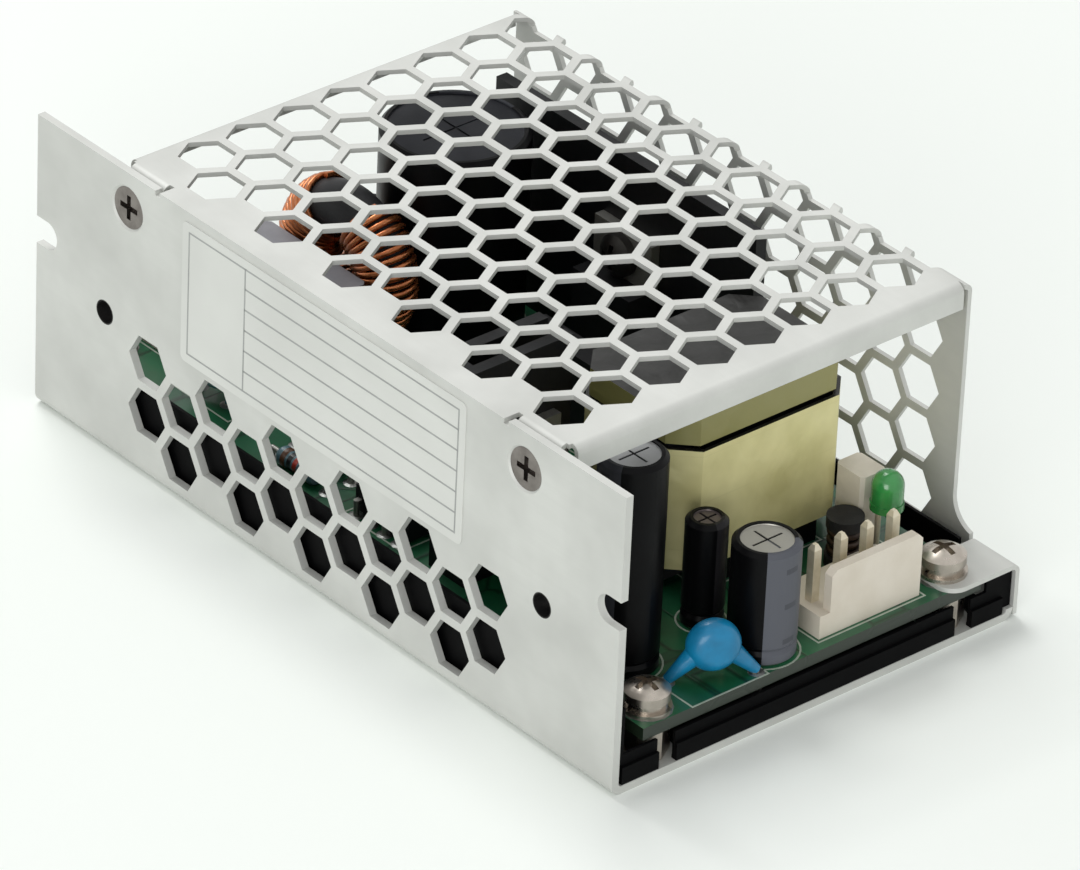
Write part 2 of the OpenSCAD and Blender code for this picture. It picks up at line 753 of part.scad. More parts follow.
module insulation_film() {
    x1 = half_l - film_end_gap - film_t;
    y0 = -half_w + chassis_ro + sheet_gap;
    y1 = upstand_y1 - chassis_ro - sheet_gap;
    side_x1 = ledge_x0 - eps;
    color([0.05, 0.05, 0.06])
        difference() {
            union() {
                block([-x1, y0, chassis_t], [x1, y1, chassis_t + film_t]);
                block([-x1, y0, chassis_t], [x1, y0 + film_t, chassis_t + film_side_h]);
                block([-side_x1, y1 - film_t, chassis_t], [side_x1, y1, chassis_t + film_cover_side_h]);
                for (s = [0, 1])
                    mirror([s, 0, 0])
                        film_end(y0, y1);
            }
            for (p = board_holes) {
                translate([p[0], p[1], 0])
                    cylinder(d = standoff_af / cos(30) + 2 * film_clear, h = board_z0);
                translate([p[0] + sign(p[0]) * half_l / 2, p[1], board_z0 / 2])
                    cube([half_l, film_slot_w, board_z0], center = true);
            }
        }
}

// Circuit board with its screw holes and lead holes
module circuit_board() {
    color([0.05, 0.3, 0.16])
        translate([0, 0, board_z0])
            difference() {
                block([rear, left, 0], [front, right, board_t]);
                for (p = board_holes)
                    translate([p[0], p[1], -eps])
                        cylinder(d = screw_d + 2 * screw_gap, h = board_t + 2 * eps);
                for (p = wire_leads)
                    translate([p[0], p[1], -eps])
                        cylinder(d = lead_d + 2 * lead_gap, h = board_t + 2 * eps, $fn = 16);
                for (p = header_leads)
                    translate([p[0], p[1], -eps])
                        cylinder(d = pin_w * sqrt(2) + 2 * lead_gap, h = board_t + 2 * eps, $fn = 16);
            }
}

module board_standoffs() {
    color([0.78, 0.78, 0.76])
        for (p = board_holes)
            translate([p[0], p[1], 0])
                difference() {
                    union() {
                        cylinder(d = standoff_foot_d - 2 * sheet_gap, h = chassis_t + eps);
                        translate([0, 0, chassis_t])
                            cylinder(d = standoff_af / cos(30), h = standoff_h, $fn = 6);
                    }
                    translate([0, 0, board_z0 - board_screw_l - eps])
                        cylinder(d = screw_d + 2 * thread_gap, h = board_screw_l + 2 * eps);
                }
}

// Cross slots of a screw head, cut down from z = 0
module cross_slots(d) {
    for (a = [0, 90])
        rotate(a)
            translate([-d * 0.3, -cross_w / 2, -cross_depth])
                cube([d * 0.6, cross_w, cross_depth + eps]);
}

// Pan head screw with its head standing on z = 0
module pan_screw(l) {
    difference() {
        union() {
            translate([0, 0, -l])
                cylinder(d = screw_d, h = l + eps);
            rotate_extrude()
                intersection() {
                    rect(0, 0, pan_d / 2, pan_h);
                    translate([0, pan_h - pan_d * 0.8])
                        circle(d = pan_d * 1.6);
                }
        }
        translate([0, 0, pan_h])
            cross_slots(pan_d);
    }
}

// Pan head screw on a split spring washer and a flat washer that lies on z = 0
module washer_screw(l) {
    stack = washer_t + spring_t;
    cylinder(d = washer_d, h = washer_t);
    difference() {
        cylinder(d = spring_d, h = stack);
        translate([0, 0, washer_t + spring_t / 2])
            rotate([0, 30, 0])
                translate([-spring_split / 2, -spring_d, -spring_t])
                    cube([spring_split, spring_d - screw_d / 2, 2 * spring_t]);
    }
    translate([0, 0, stack])
        pan_screw(l + stack);
}

module board_screws() {
    color([0.72, 0.7, 0.66])
        for (p = board_holes) {
            seat = p[1] > 0 ? ledge_top : board_z1;
            translate([p[0], p[1], seat])
                washer_screw(seat - board_z0 + board_screw_l);
        }
}

module cover_screws() {
    cone_h = (flat_head_d - screw_d) / 2;
    color([0.62, 0.6, 0.58])
        for (x = cover_screw_x)
            translate([x, -half_w + flat_head_depth, cover_screw_h])
                rotate([90, 0, 0])
                    difference() {
                        union() {
                            translate([0, 0, -cone_h])
                                cylinder(d1 = screw_d, d2 = flat_head_d, h = cone_h);
                            translate([0, 0, -cover_screw_l])
                                cylinder(d = screw_d, h = cover_screw_l - cone_h + 0.1);
                        }
                        cross_slots(flat_head_d);
                    }
}

// Depth of the recess in a can's top and width of the cross scored in it
can_recess = 0.25;
can_score_w = 0.3;

// Lead wires that run up through the board, to top above it
module leads(points, top = 0.3) {
    for (p = points)
        translate([p[0], p[1], board_z0 - lead_tail])
            cylinder(d = lead_d, h = board_t + lead_tail + top, $fn = 16);
}

// Header housings and pins
module header_housing(w) {
    difference() {
        union() {
            block([-header_depth, -w / 2, 0], [0, w / 2, header_base_h]);
            block([-header_wall_t, header_wall_cut - w / 2, 0], [0, w / 2, header_wall_h]);
        }
        for (y = [header_wall_cut - w / 2, w / 2])
            translate([-header_wall_t / 2, y, header_wall_h])
                rotate([45, 0, 0])
                    cube([header_wall_t + 2 * eps, 1, 1], center = true);
    }
}

module header_pin_holes(points) {
    for (p = points)
        block([p[0] - pin_w / 2, p[1] - pin_w / 2, board_z0],
            [p[0] + pin_w / 2, p[1] + pin_w / 2, board_z1 + pin_h]);
}

module header_pins(points) {
    for (p = points)
        translate([p[0], p[1], board_z0 - lead_tail])
            difference() {
                block([-pin_w / 2, -pin_w / 2, 0], [pin_w / 2, pin_w / 2, board_t + lead_tail + pin_h]);
                for (a = [0:90:270])
                    rotate(a)
                        translate([pin_w / 2, 0, board_t + lead_tail + pin_h])
                            rotate([0, -25, 0])
                                cube([pin_w / 2, 2 * pin_w, 2 * pin_w], center = true);
            }
}

module output_header_housing() {
    color([0.9, 0.86, 0.78])
        difference() {
            translate([output_header_x, output_header_y, board_z1])
                header_housing(output_header_w);
            header_pin_holes(output_pins);
        }
}

module output_header_pins() {
    color([0.85, 0.84, 0.8])
        header_pins(output_pins);
}

module input_header_housing() {
    color([0.9, 0.86, 0.78])
        difference() {
            translate([input_header_x, input_header_y, board_z1])
                mirror([1, 0, 0])
                    header_housing(input_header_w);
            header_pin_holes(input_pins);
        }
}

module input_header_pins() {
    color([0.85, 0.84, 0.8])
        header_pins(input_pins);
}

// Indicator lamp
module indicator_lens() {
    r = led_d / 2;
    color([0.2, 0.65, 0.28])
        translate([led_x, led_y, board_z1 + led_stand])
            difference() {
                rotate_extrude()
                    union() {
                        rect(0, 0, r + led_rim, 0.9);
                        rect(0, 0, r, led_h - r);
                        translate([0, led_h - r])
                            intersection() {
                                circle(r = r);
                                square(r);
                            }
                    }
                for (p = led_leads)
                    translate([p[0] - led_x, p[1] - led_y, -eps])
                        cylinder(d = lead_d, h = 1 + eps, $fn = 16);
            }
}

module indicator_leads() {
    color([0.85, 0.85, 0.82])
        leads(led_leads, led_stand + 1);
}

// Electrolytic can with a crimp groove and a recessed top that is scored with a cross as a safety vent
module can(d, h) {
    r = d / 2;
    top = h - can_recess;
    difference() {
        rotate_extrude()
            polygon([[0, 0], [r - 0.3, 0], [r, 0.3], [r, 1.3], [r - 0.3, 1.8], [r, 2.3],
                [r, h - 0.5], [r - 0.5, h], [r - 0.9, h], [r - 1, top], [0, top]]);
        for (a = [0, 90])
            rotate(a)
                translate([0, 0, top])
                    cube([d * 0.55, can_score_w, can_recess], center = true);
    }
}

module can_on_board(x, y, d, h, points) {
    translate([x, y, board_z1])
        can(d, h);
    leads(points);
}

module bulk_capacitor() {
    color([0.08, 0.08, 0.09])
        can_on_board(bulk_cap_x, bulk_cap_y, bulk_cap_d, bulk_cap_h, bulk_leads);
}

module tall_output_capacitor() {
    color([0.1, 0.1, 0.12])
        can_on_board(tall_cap_x, tall_cap_y, tall_cap_d, tall_cap_h, tall_leads);
}

module striped_output_capacitor() {
    color([0.1, 0.1, 0.12])
        can_on_board(striped_cap_x, striped_cap_y, striped_cap_d, striped_cap_h, striped_leads);
}

module small_output_capacitor() {
    color([0.1, 0.1, 0.12])
        can_on_board(small_cap_x, small_cap_y, small_cap_d, small_cap_h, small_leads);
}

module rear_output_capacitor() {
    color([0.1, 0.1, 0.12])
        can_on_board(rear_cap_x, rear_cap_y, rear_cap_d, rear_cap_h, rear_cap_leads);
}

module supply_capacitor() {
    color([0.1, 0.1, 0.12])
        can_on_board(supply_cap_x, supply_cap_y, supply_cap_d, supply_cap_h, supply_leads);
}

// Coated disc standing on edge along X, with its lower edge at z = 0
module coated_disc(d, t) {
    translate([0, 0, d / 2])
        rotate([90, 0, 0])
            rotate_extrude()
                union() {
                    rect(0, -t / 2, d / 2 - t / 2, t / 2);
                    translate([d / 2 - t / 2, 0])
                        intersection() {
                            circle(d = t);
                            rect(0, -t, t, t);
                        }
                }
}

module safety_disc_capacitor() {
    leg_top = disc_cap_lift + disc_cap_d * 0.4;
    leg_run = (disc_lead_pitch - disc_cap_d * 0.4) / 2;
    leg_l = norm([leg_run, leg_top]);
    color([0.1, 0.5, 0.75]) {
        translate([disc_cap_x, disc_cap_y, board_z1])
            rotate(disc_cap_turn) {
                translate([0, 0, disc_cap_lift])
                    coated_disc(disc_cap_d, disc_cap_t);
                for (s = [-1, 1])
                    translate([s * disc_lead_pitch / 2, 0, 0.4])
                        rotate([0, -s * atan2(leg_run, leg_top), 0])
                            cylinder(d1 = disc_foot_d, d2 = disc_shoulder_d, h = leg_l);
            }
        leads(disc_leads, 0.9);
    }
}

module line_disc(x, y, d, points) {
    translate([x, y, board_z1 + 1.5])
        coated_disc(d, line_disc_t);
    leads(points, 1.5 + d * 0.3);
}

module surge_varistor() {
    color([0.1, 0.42, 0.45])
        line_disc(varistor_x, varistor_y, varistor_d, varistor_leads);
}

module inrush_thermistor() {
    color([0.12, 0.13, 0.12])
        line_disc(thermistor_x, thermistor_y, thermistor_d, thermistor_leads);
}

// Box with chamfered upright edges, centred on X and Y
module cut_box(l, w, h, chamfer) {
    linear_extrude(h)
        polygon([[-l / 2 + chamfer, -w / 2], [l / 2 - chamfer, -w / 2], [l / 2, -w / 2 + chamfer],
            [l / 2, w / 2 - chamfer], [l / 2 - chamfer, w / 2], [-l / 2 + chamfer, w / 2],
            [-l / 2, w / 2 - chamfer], [-l / 2, -w / 2 + chamfer]]);
}

module film_capacitor() {
    color([0.72, 0.67, 0.6]) {
        translate([film_cap_x, film_cap_y, board_z1])
            cut_box(film_cap_w, film_cap_t, film_cap_h, 0.4);
        leads(film_cap_leads);
    }
}

module line_filter_capacitor() {
    color([0.45, 0.45, 0.46]) {
        translate([filter_cap_x, filter_cap_y, board_z1])
            cut_box(filter_cap_l, filter_cap_t, filter_cap_h, 0.5);
        leads(filter_leads);
    }
}

module line_fuse() {
    r = fuse_d / 2;
    color([0.1, 0.09, 0.09]) {
        translate([fuse_x, fuse_y, board_z1])
            rotate_extrude()
                polygon([[0, 0], [r, 0], [r, fuse_h - 0.6], [r - 0.6, fuse_h], [0, fuse_h]]);
        leads(fuse_leads);
    }
}

module bridge_rectifier() {
    color([0.09, 0.09, 0.09]) {
        translate([bridge_x, bridge_y, board_z1 + 2.4])
            difference() {
                cut_box(bridge_l, bridge_t, bridge_h, 0.3);
                translate([-bridge_l / 2, 0, bridge_h])
                    rotate([0, 45, 0])
                        cube([2.6, bridge_t + 1, 2.6], center = true);
            }
        leads(bridge_leads, 2.7);
    }
}

// Transformer: two E cores around a spool, with an outer belt of tape
module transformer_core() {
    inner_w = core_w - 2 * core_leg;
    color([0.13, 0.13, 0.14])
        translate([transformer_x, transformer_y, board_z1 + core_stand]) {
            difference() {
                block([-core_depth / 2, -core_w / 2, 0], [core_depth / 2, core_w / 2, core_h]);
                block([-core_depth / 2 - eps, -inner_w / 2, core_leg],
                    [core_depth / 2 + eps, inner_w / 2, core_h - core_leg]);
            }
            translate([0, 0, core_leg - eps])
                cylinder(d = core_post_d, h = core_h - 2 * core_leg + 2 * eps);
        }
}

module transformer_bobbin() {
    inner_w = core_w - 2 * core_leg - 2 * core_gap;
    spool_z0 = core_stand + core_leg + core_gap;
    spool_z1 = core_stand + core_h - core_leg - core_gap;
    rail = (bobbin_depth - core_depth) / 2 - core_gap;
    color([0.1, 0.1, 0.1])
        translate([transformer_x, transformer_y, board_z1])
            difference() {
                union() {
                    for (z = [spool_z0, spool_z1 - bobbin_t])
                        block([-bobbin_depth / 2, -inner_w / 2, z],
                            [bobbin_depth / 2, inner_w / 2, z + bobbin_t]);
                    translate([0, 0, spool_z0])
                        cylinder(d = core_post_d + 2 * core_gap + 2 * bobbin_t, h = spool_z1 - spool_z0);
                    for (s = [0, 1])
                        mirror([s, 0, 0])
                            block([bobbin_depth / 2 - rail, -inner_w / 2, 0],
                                [bobbin_depth / 2, inner_w / 2, spool_z0 + bobbin_t]);
                }
                translate([0, 0, spool_z0 - eps])
                    cylinder(d = core_post_d + 2 * core_gap, h = spool_z1 - spool_z0 + 2 * eps);
            }
}

module transformer_winding() {
    tube_d = core_post_d + 4 * core_gap + 2 * bobbin_t;
    inner_w = core_w - 2 * core_leg - 4 * core_gap;
    z0 = core_stand + core_leg + 2 * core_gap + bobbin_t;
    z1 = core_stand + core_h - core_leg - 2 * core_gap - bobbin_t;
    color([0.72, 0.62, 0.25])
        translate([transformer_x, transformer_y, board_z1 + z0])
            linear_extrude(z1 - z0)
                difference() {
                    intersection() {
                        circle(d = bobbin_depth - 2 * core_gap);
                        square([bobbin_depth, inner_w], center = true);
                    }
                    circle(d = tube_d);
                }
}

// Outline of the tape around the transformer, with slanted corners
module tape_outline(l, w) {
    c = (bobbin_depth - core_depth) / 2;
    polygon([[l / 2, c - w / 2], [l / 2, w / 2 - c], [l / 2 - c, w / 2], [c - l / 2, w / 2],
        [-l / 2, w / 2 - c], [-l / 2, c - w / 2], [c - l / 2, -w / 2], [l / 2 - c, -w / 2]]);
}

module transformer_tape() {
    core_top = core_stand + core_h;
    in_l = bobbin_depth + 2 * core_gap;
    in_w = core_w + 2 * core_gap;
    color([0.78, 0.74, 0.42])
        translate([transformer_x, transformer_y, board_z1]) {
            translate([0, 0, core_top - tape_drop - tape_h])
                linear_extrude(tape_h)
                    difference() {
                        tape_outline(in_l + 2 * tape_t, in_w + 2 * tape_t);
                        tape_outline(in_l, in_w);
                    }
            translate([0, 0, core_top - band_h])
                difference() {
                    linear_extrude(band_h + core_gap + tape_t)
                        tape_outline(bobbin_depth, in_w + 2 * tape_t);
                    block([-core_depth / 2 - core_gap, -in_w / 2, -eps],
                        [core_depth / 2 + core_gap, in_w / 2, band_h + core_gap]);
                }
        }
}

// Line choke: a ring standing on edge, wound on both sides
choke_z = board_z1 + choke_base_t + (choke_ring_d + choke_section_d) / 2 + choke_wire_d + core_gap;
choke_saddle_w = choke_section_d * 0.6;

module line_choke_core() {
    color([0.16, 0.2, 0.17])
        translate([choke_x, choke_y, choke_z])
            rotate([90, 0, 0])
                rotate_extrude()
                    translate([choke_ring_d / 2, 0])
                        circle(d = choke_section_d);
}

module line_choke_winding() {
    ring_r = (choke_section_d + choke_wire_d) / 2 + 0.02;
    step = choke_wire_d * 1.04 / (choke_ring_d / 2 - choke_section_d / 2 - choke_wire_d) * 180 / PI;
    color([0.78, 0.45, 0.24])
        translate([choke_x, choke_y, choke_z])
            rotate([90, 0, 0])
                for (side = [0, 180], i = [0:choke_turns - 1])
                    rotate(side + (i - (choke_turns - 1) / 2) * step)
                        translate([choke_ring_d / 2, 0, 0])
                            rotate([90, 0, 0])
                                rotate_extrude()
                                    translate([ring_r, 0])
                                        circle(d = choke_wire_d, $fn = 16);
}

module line_choke_base() {
    ring_od = choke_ring_d + choke_section_d;
    half_t = choke_section_d / 2;
    color([0.12, 0.12, 0.12])
        translate([choke_x, choke_y, board_z1])
            difference() {
                union() {
                    block([-ring_od * 0.4, -half_t, 0], [ring_od * 0.4, half_t, choke_base_t]);
                    block([-choke_saddle_w / 2, -half_t, 0],
                        [choke_saddle_w / 2, half_t, choke_base_t + 2]);
                }
                translate([0, 0, choke_z - board_z1])
                    rotate([90, 0, 0])
                        cylinder(d = ring_od + 2 * sheet_gap, h = choke_section_d + 2 * eps, center = true);
            }
}

// Output choke: a drum on end with its turns showing
module output_choke_core() {
    r = output_choke_d / 2;
    color([0.14, 0.13, 0.13])
        translate([output_choke_x, output_choke_y, board_z1])
            rotate_extrude()
                polygon([[0, 0], [r, 0], [r, 1.4], [r * 0.5, 1.4], [r * 0.5, output_choke_h - 1.4],
                    [r, output_choke_h - 1.4], [r, output_choke_h], [0, output_choke_h]]);
}

module output_choke_winding() {
    r = output_choke_d / 2;
    wire = r * 0.42;
    count = floor((output_choke_h - 2.9) / wire);
    color([0.62, 0.36, 0.2])
        translate([output_choke_x, output_choke_y, board_z1 + 1.45])
            for (i = [0:count - 1])
                translate([0, 0, (i + 0.5) * (output_choke_h - 2.9) / count])
                    rotate_extrude()
                        translate([r * 0.5 + wire / 2 + 0.02, 0])
                            circle(d = wire, $fn = 16);
}

// Flat power package, its back on y = 0 and its body towards -Y, standing on z = 0
module power_package() {
    block([-power_w / 2, -power_t, power_stand], [power_w / 2, 0, power_stand + power_h]);
    difference() {
        block([-power_w / 2, -power_tab_t, power_stand + power_h - eps],
            [power_w / 2, 0, power_stand + power_h + power_tab_l]);
        translate([0, eps, power_stand + power_h + power_tab_l / 2])
            rotate([90, 0, 0])
                cylinder(d = screw_d + 2 * screw_gap, h = power_tab_t + 2 * eps);
    }
}

module sink_screw_hole() {
    rotate([90, 0, 0])
        cylinder(d = screw_d + 2 * thread_gap, h = sink_t + 2 * eps, center = true);
}

module primary_heatsink() {
    color([0.16, 0.16, 0.17])
        difference() {
            block([primary_sink_x0, primary_sink_y, board_z1],
                [primary_sink_x0 + primary_sink_l, primary_sink_y + sink_t, board_z1 + sink_h]);
            translate([primary_transistor_x, primary_sink_y + sink_t / 2, heatsink_screw_z])
                sink_screw_hole();
        }
}

module primary_transistor() {
    color([0.1, 0.1, 0.1]) {
        translate([primary_transistor_x, primary_sink_y, board_z1])
            power_package();
        leads(primary_leads, power_stand + 0.3);
    }
}

module output_heatsink() {
    y0 = output_sink_y - output_sink_w / 2;
    y1 = output_sink_y + output_sink_w / 2;
    color([0.7, 0.71, 0.72])
        difference() {
            block([output_sink_x - output_sink_depth, y0, board_z1],
                [output_sink_x, y1, board_z1 + sink_h]);
            block([output_sink_x - output_sink_depth + sink_t, y0 + sink_t, board_z1 - eps],
                [output_sink_x - sink_t, y1 + eps, board_z1 + sink_h + eps]);
            translate([output_sink_x - sink_t / 2, output_sink_y, heatsink_screw_z])
                rotate(90)
                    sink_screw_hole();
        }
}

module output_rectifier() {
    color([0.1, 0.1, 0.1]) {
        translate([output_sink_x, output_sink_y, board_z1])
            rotate(90)
                power_package();
        leads(rectifier_leads, power_stand + 0.3);
    }
}

module heatsink_screws() {
    screw_l = power_tab_t + sink_t;
    color([0.74, 0.74, 0.72]) {
        translate([primary_transistor_x, primary_sink_y - power_tab_t, heatsink_screw_z])
            rotate([90, 0, 0])
                pan_screw(screw_l);
        translate([output_sink_x + power_tab_t, output_sink_y, heatsink_screw_z])
            rotate([0, 90, 0])
                pan_screw(screw_l);
    }
}

// Small chips in two rows of legs
module dual_row_chip(x, y, l, points) {
    translate([x - l / 2, y - chip_w / 2, board_z1 + 0.4])
        cube([l, chip_w, chip_h - 0.4]);
    for (p = points)
        block([p[0] - lead_d / 2, min(p[1], y), board_z1 + chip_h * 0.5],
            [p[0] + lead_d / 2, max(p[1], y), board_z1 + chip_h * 0.5 + 0.3]);
    leads(points, chip_h * 0.5 + 0.3);
}

module control_chip() {
    color([0.08, 0.08, 0.08])
        dual_row_chip(chip_x, chip_y, chip_l, chip_leads(chip_x, chip_y, 4));
}

module optocoupler() {
    color([0.85, 0.84, 0.8])
        dual_row_chip(coupler_x, coupler_y, coupler_l, chip_leads(coupler_x, coupler_y, 2));
}

// Axial resistors lying on the board
module axial_resistors() {
    r = resistor_d / 2;
    end = resistor_l / 2;
    color([0.55, 0.68, 0.72])
        for (i = [0:resistor_count - 1]) {
            y = resistor_y0 + i * resistor_step;
            translate([resistor_x, y, board_z1 + r])
                rotate([0, 90, 0]) {
                    rotate_extrude()
                        polygon([[0, -end], [r * 0.8, -end], [r, -end + 0.4], [r, -end + 1.4],
                            [r * 0.85, -end + 1.8], [r * 0.85, end - 1.8], [r, end - 1.4],
                            [r, end - 0.4], [r * 0.8, end], [0, end]]);
                    cylinder(d = lead_d, h = resistor_span, center = true, $fn = 16);
                }
            leads(pair(resistor_x, y, resistor_span), r);
        }
}

chassis();
cover();
insulation_film();
circuit_board();
board_standoffs();
board_screws();
cover_screws();
output_header_housing();
output_header_pins();
input_header_housing();
input_header_pins();
indicator_lens();
indicator_leads();
transformer_core();
transformer_bobbin();
transformer_winding();
transformer_tape();
bulk_capacitor();
tall_output_capacitor();
striped_output_capacitor();
small_output_capacitor();
rear_output_capacitor();
supply_capacitor();
safety_disc_capacitor();
film_capacitor();
line_filter_capacitor();
line_choke_core();
line_choke_winding();
line_choke_base();
output_choke_core();
output_choke_winding();
line_fuse();
surge_varistor();
inrush_thermistor();
bridge_rectifier();
primary_heatsink();
primary_transistor();
output_heatsink();
output_rectifier();
heatsink_screws();
control_chip();
optocoupler();
axial_resistors();
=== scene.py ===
"""Studio scene of an enclosed switching power supply.

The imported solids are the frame. The script gives every solid its finish, adds the blank label, the collars of
the tapped holes, the board's print, pads and solder and the line choke's wire, and sets the floor, the light
and the camera of the picture.
"""
import logging
import math
from dataclasses import dataclass, field, replace
from enum import Enum
from typing import Optional, Sequence, Union

import bmesh
import bpy
from mathutils import Matrix, Vector


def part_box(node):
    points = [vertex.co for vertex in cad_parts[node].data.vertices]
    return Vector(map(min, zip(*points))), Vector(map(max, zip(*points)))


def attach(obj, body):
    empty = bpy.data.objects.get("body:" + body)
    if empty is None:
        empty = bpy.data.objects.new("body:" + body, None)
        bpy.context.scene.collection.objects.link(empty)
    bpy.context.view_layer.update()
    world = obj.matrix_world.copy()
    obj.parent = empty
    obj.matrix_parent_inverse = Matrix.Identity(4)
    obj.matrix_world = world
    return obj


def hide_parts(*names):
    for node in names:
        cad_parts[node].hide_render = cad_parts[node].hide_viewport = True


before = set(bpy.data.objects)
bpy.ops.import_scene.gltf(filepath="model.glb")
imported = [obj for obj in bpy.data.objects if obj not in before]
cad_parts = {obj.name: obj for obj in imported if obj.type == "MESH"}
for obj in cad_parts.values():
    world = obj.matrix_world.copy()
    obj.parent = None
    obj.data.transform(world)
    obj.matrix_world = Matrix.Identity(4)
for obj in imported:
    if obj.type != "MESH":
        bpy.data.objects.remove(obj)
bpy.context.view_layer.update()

LOG = logging.getLogger("power_supply")
MM = 0.001
FAR_MM = 1000.0
BODY = "root"
Point = tuple[float, float]
Socket = bpy.types.NodeSocket
Material = bpy.types.Material
Mesh = bpy.types.Mesh
Tree = Union[bpy.types.ShaderNodeTree, bpy.types.GeometryNodeTree]


def linear(code: str) -> tuple[float, float, float, float]:
    """Turn an sRGB hex colour into a linear one.

    Args:
        code: colour such as "#A0B1C2".

    Returns:
        Linear red, green, blue and an alpha of 1.
    """
    channels = [int(code[i:i + 2], 16) / 255 for i in (1, 3, 5)]
    r, g, b = (c / 12.92 if c <= 0.04045 else ((c + 0.055) / 1.055) ** 2.4 for c in channels)
    return r, g, b, 1.0


def per_mm(size: float) -> float:
    """Texture scale, on coordinates in metres, that gives a feature this many millimetres across."""
    return 1 / (size * MM)


def add_node(tree: Tree, kind: str, links: Optional[dict[Union[str, int], object]] = None,
             **settings: object) -> bpy.types.NodeOutputs:
    """Add a node to a tree.

    Args:
        tree: shader or geometry node tree.
        kind: the node's type name.
        links: values or output sockets for its inputs, by name or number; a list joins several to one.
        **settings: values for the node's own properties.

    Returns:
        The new node's outputs, by name or number.
    """
    node = tree.nodes.new(kind)
    for name, value in settings.items():
        setattr(node, name, value)
    for key, value in (links or {}).items():
        for item in value if isinstance(value, list) else [value]:
            if isinstance(item, Socket):
                tree.links.new(item, node.inputs[key])
            else:
                node.inputs[key].default_value = item
    return node.outputs


class Axis(Enum):
    """Axis of the object's frame, by the name of its socket."""

    X = "X"
    Y = "Y"
    Z = "Z"


@dataclass(frozen=True)
class BareMetal:
    """Stretch of a piece, outside low to high on one axis, where its tinned metal is bare."""

    axis: Axis
    low_mm: float = -FAR_MM
    high_mm: float = FAR_MM


@dataclass
class Surface:
    """Sockets that a finish hands to its shader, and the colours that lie over its own, lowest first."""

    colour: Socket
    roughness: Socket
    height: Socket
    metallic: Optional[Socket] = None
    layers: list[tuple[Socket, str]] = field(default_factory=list)


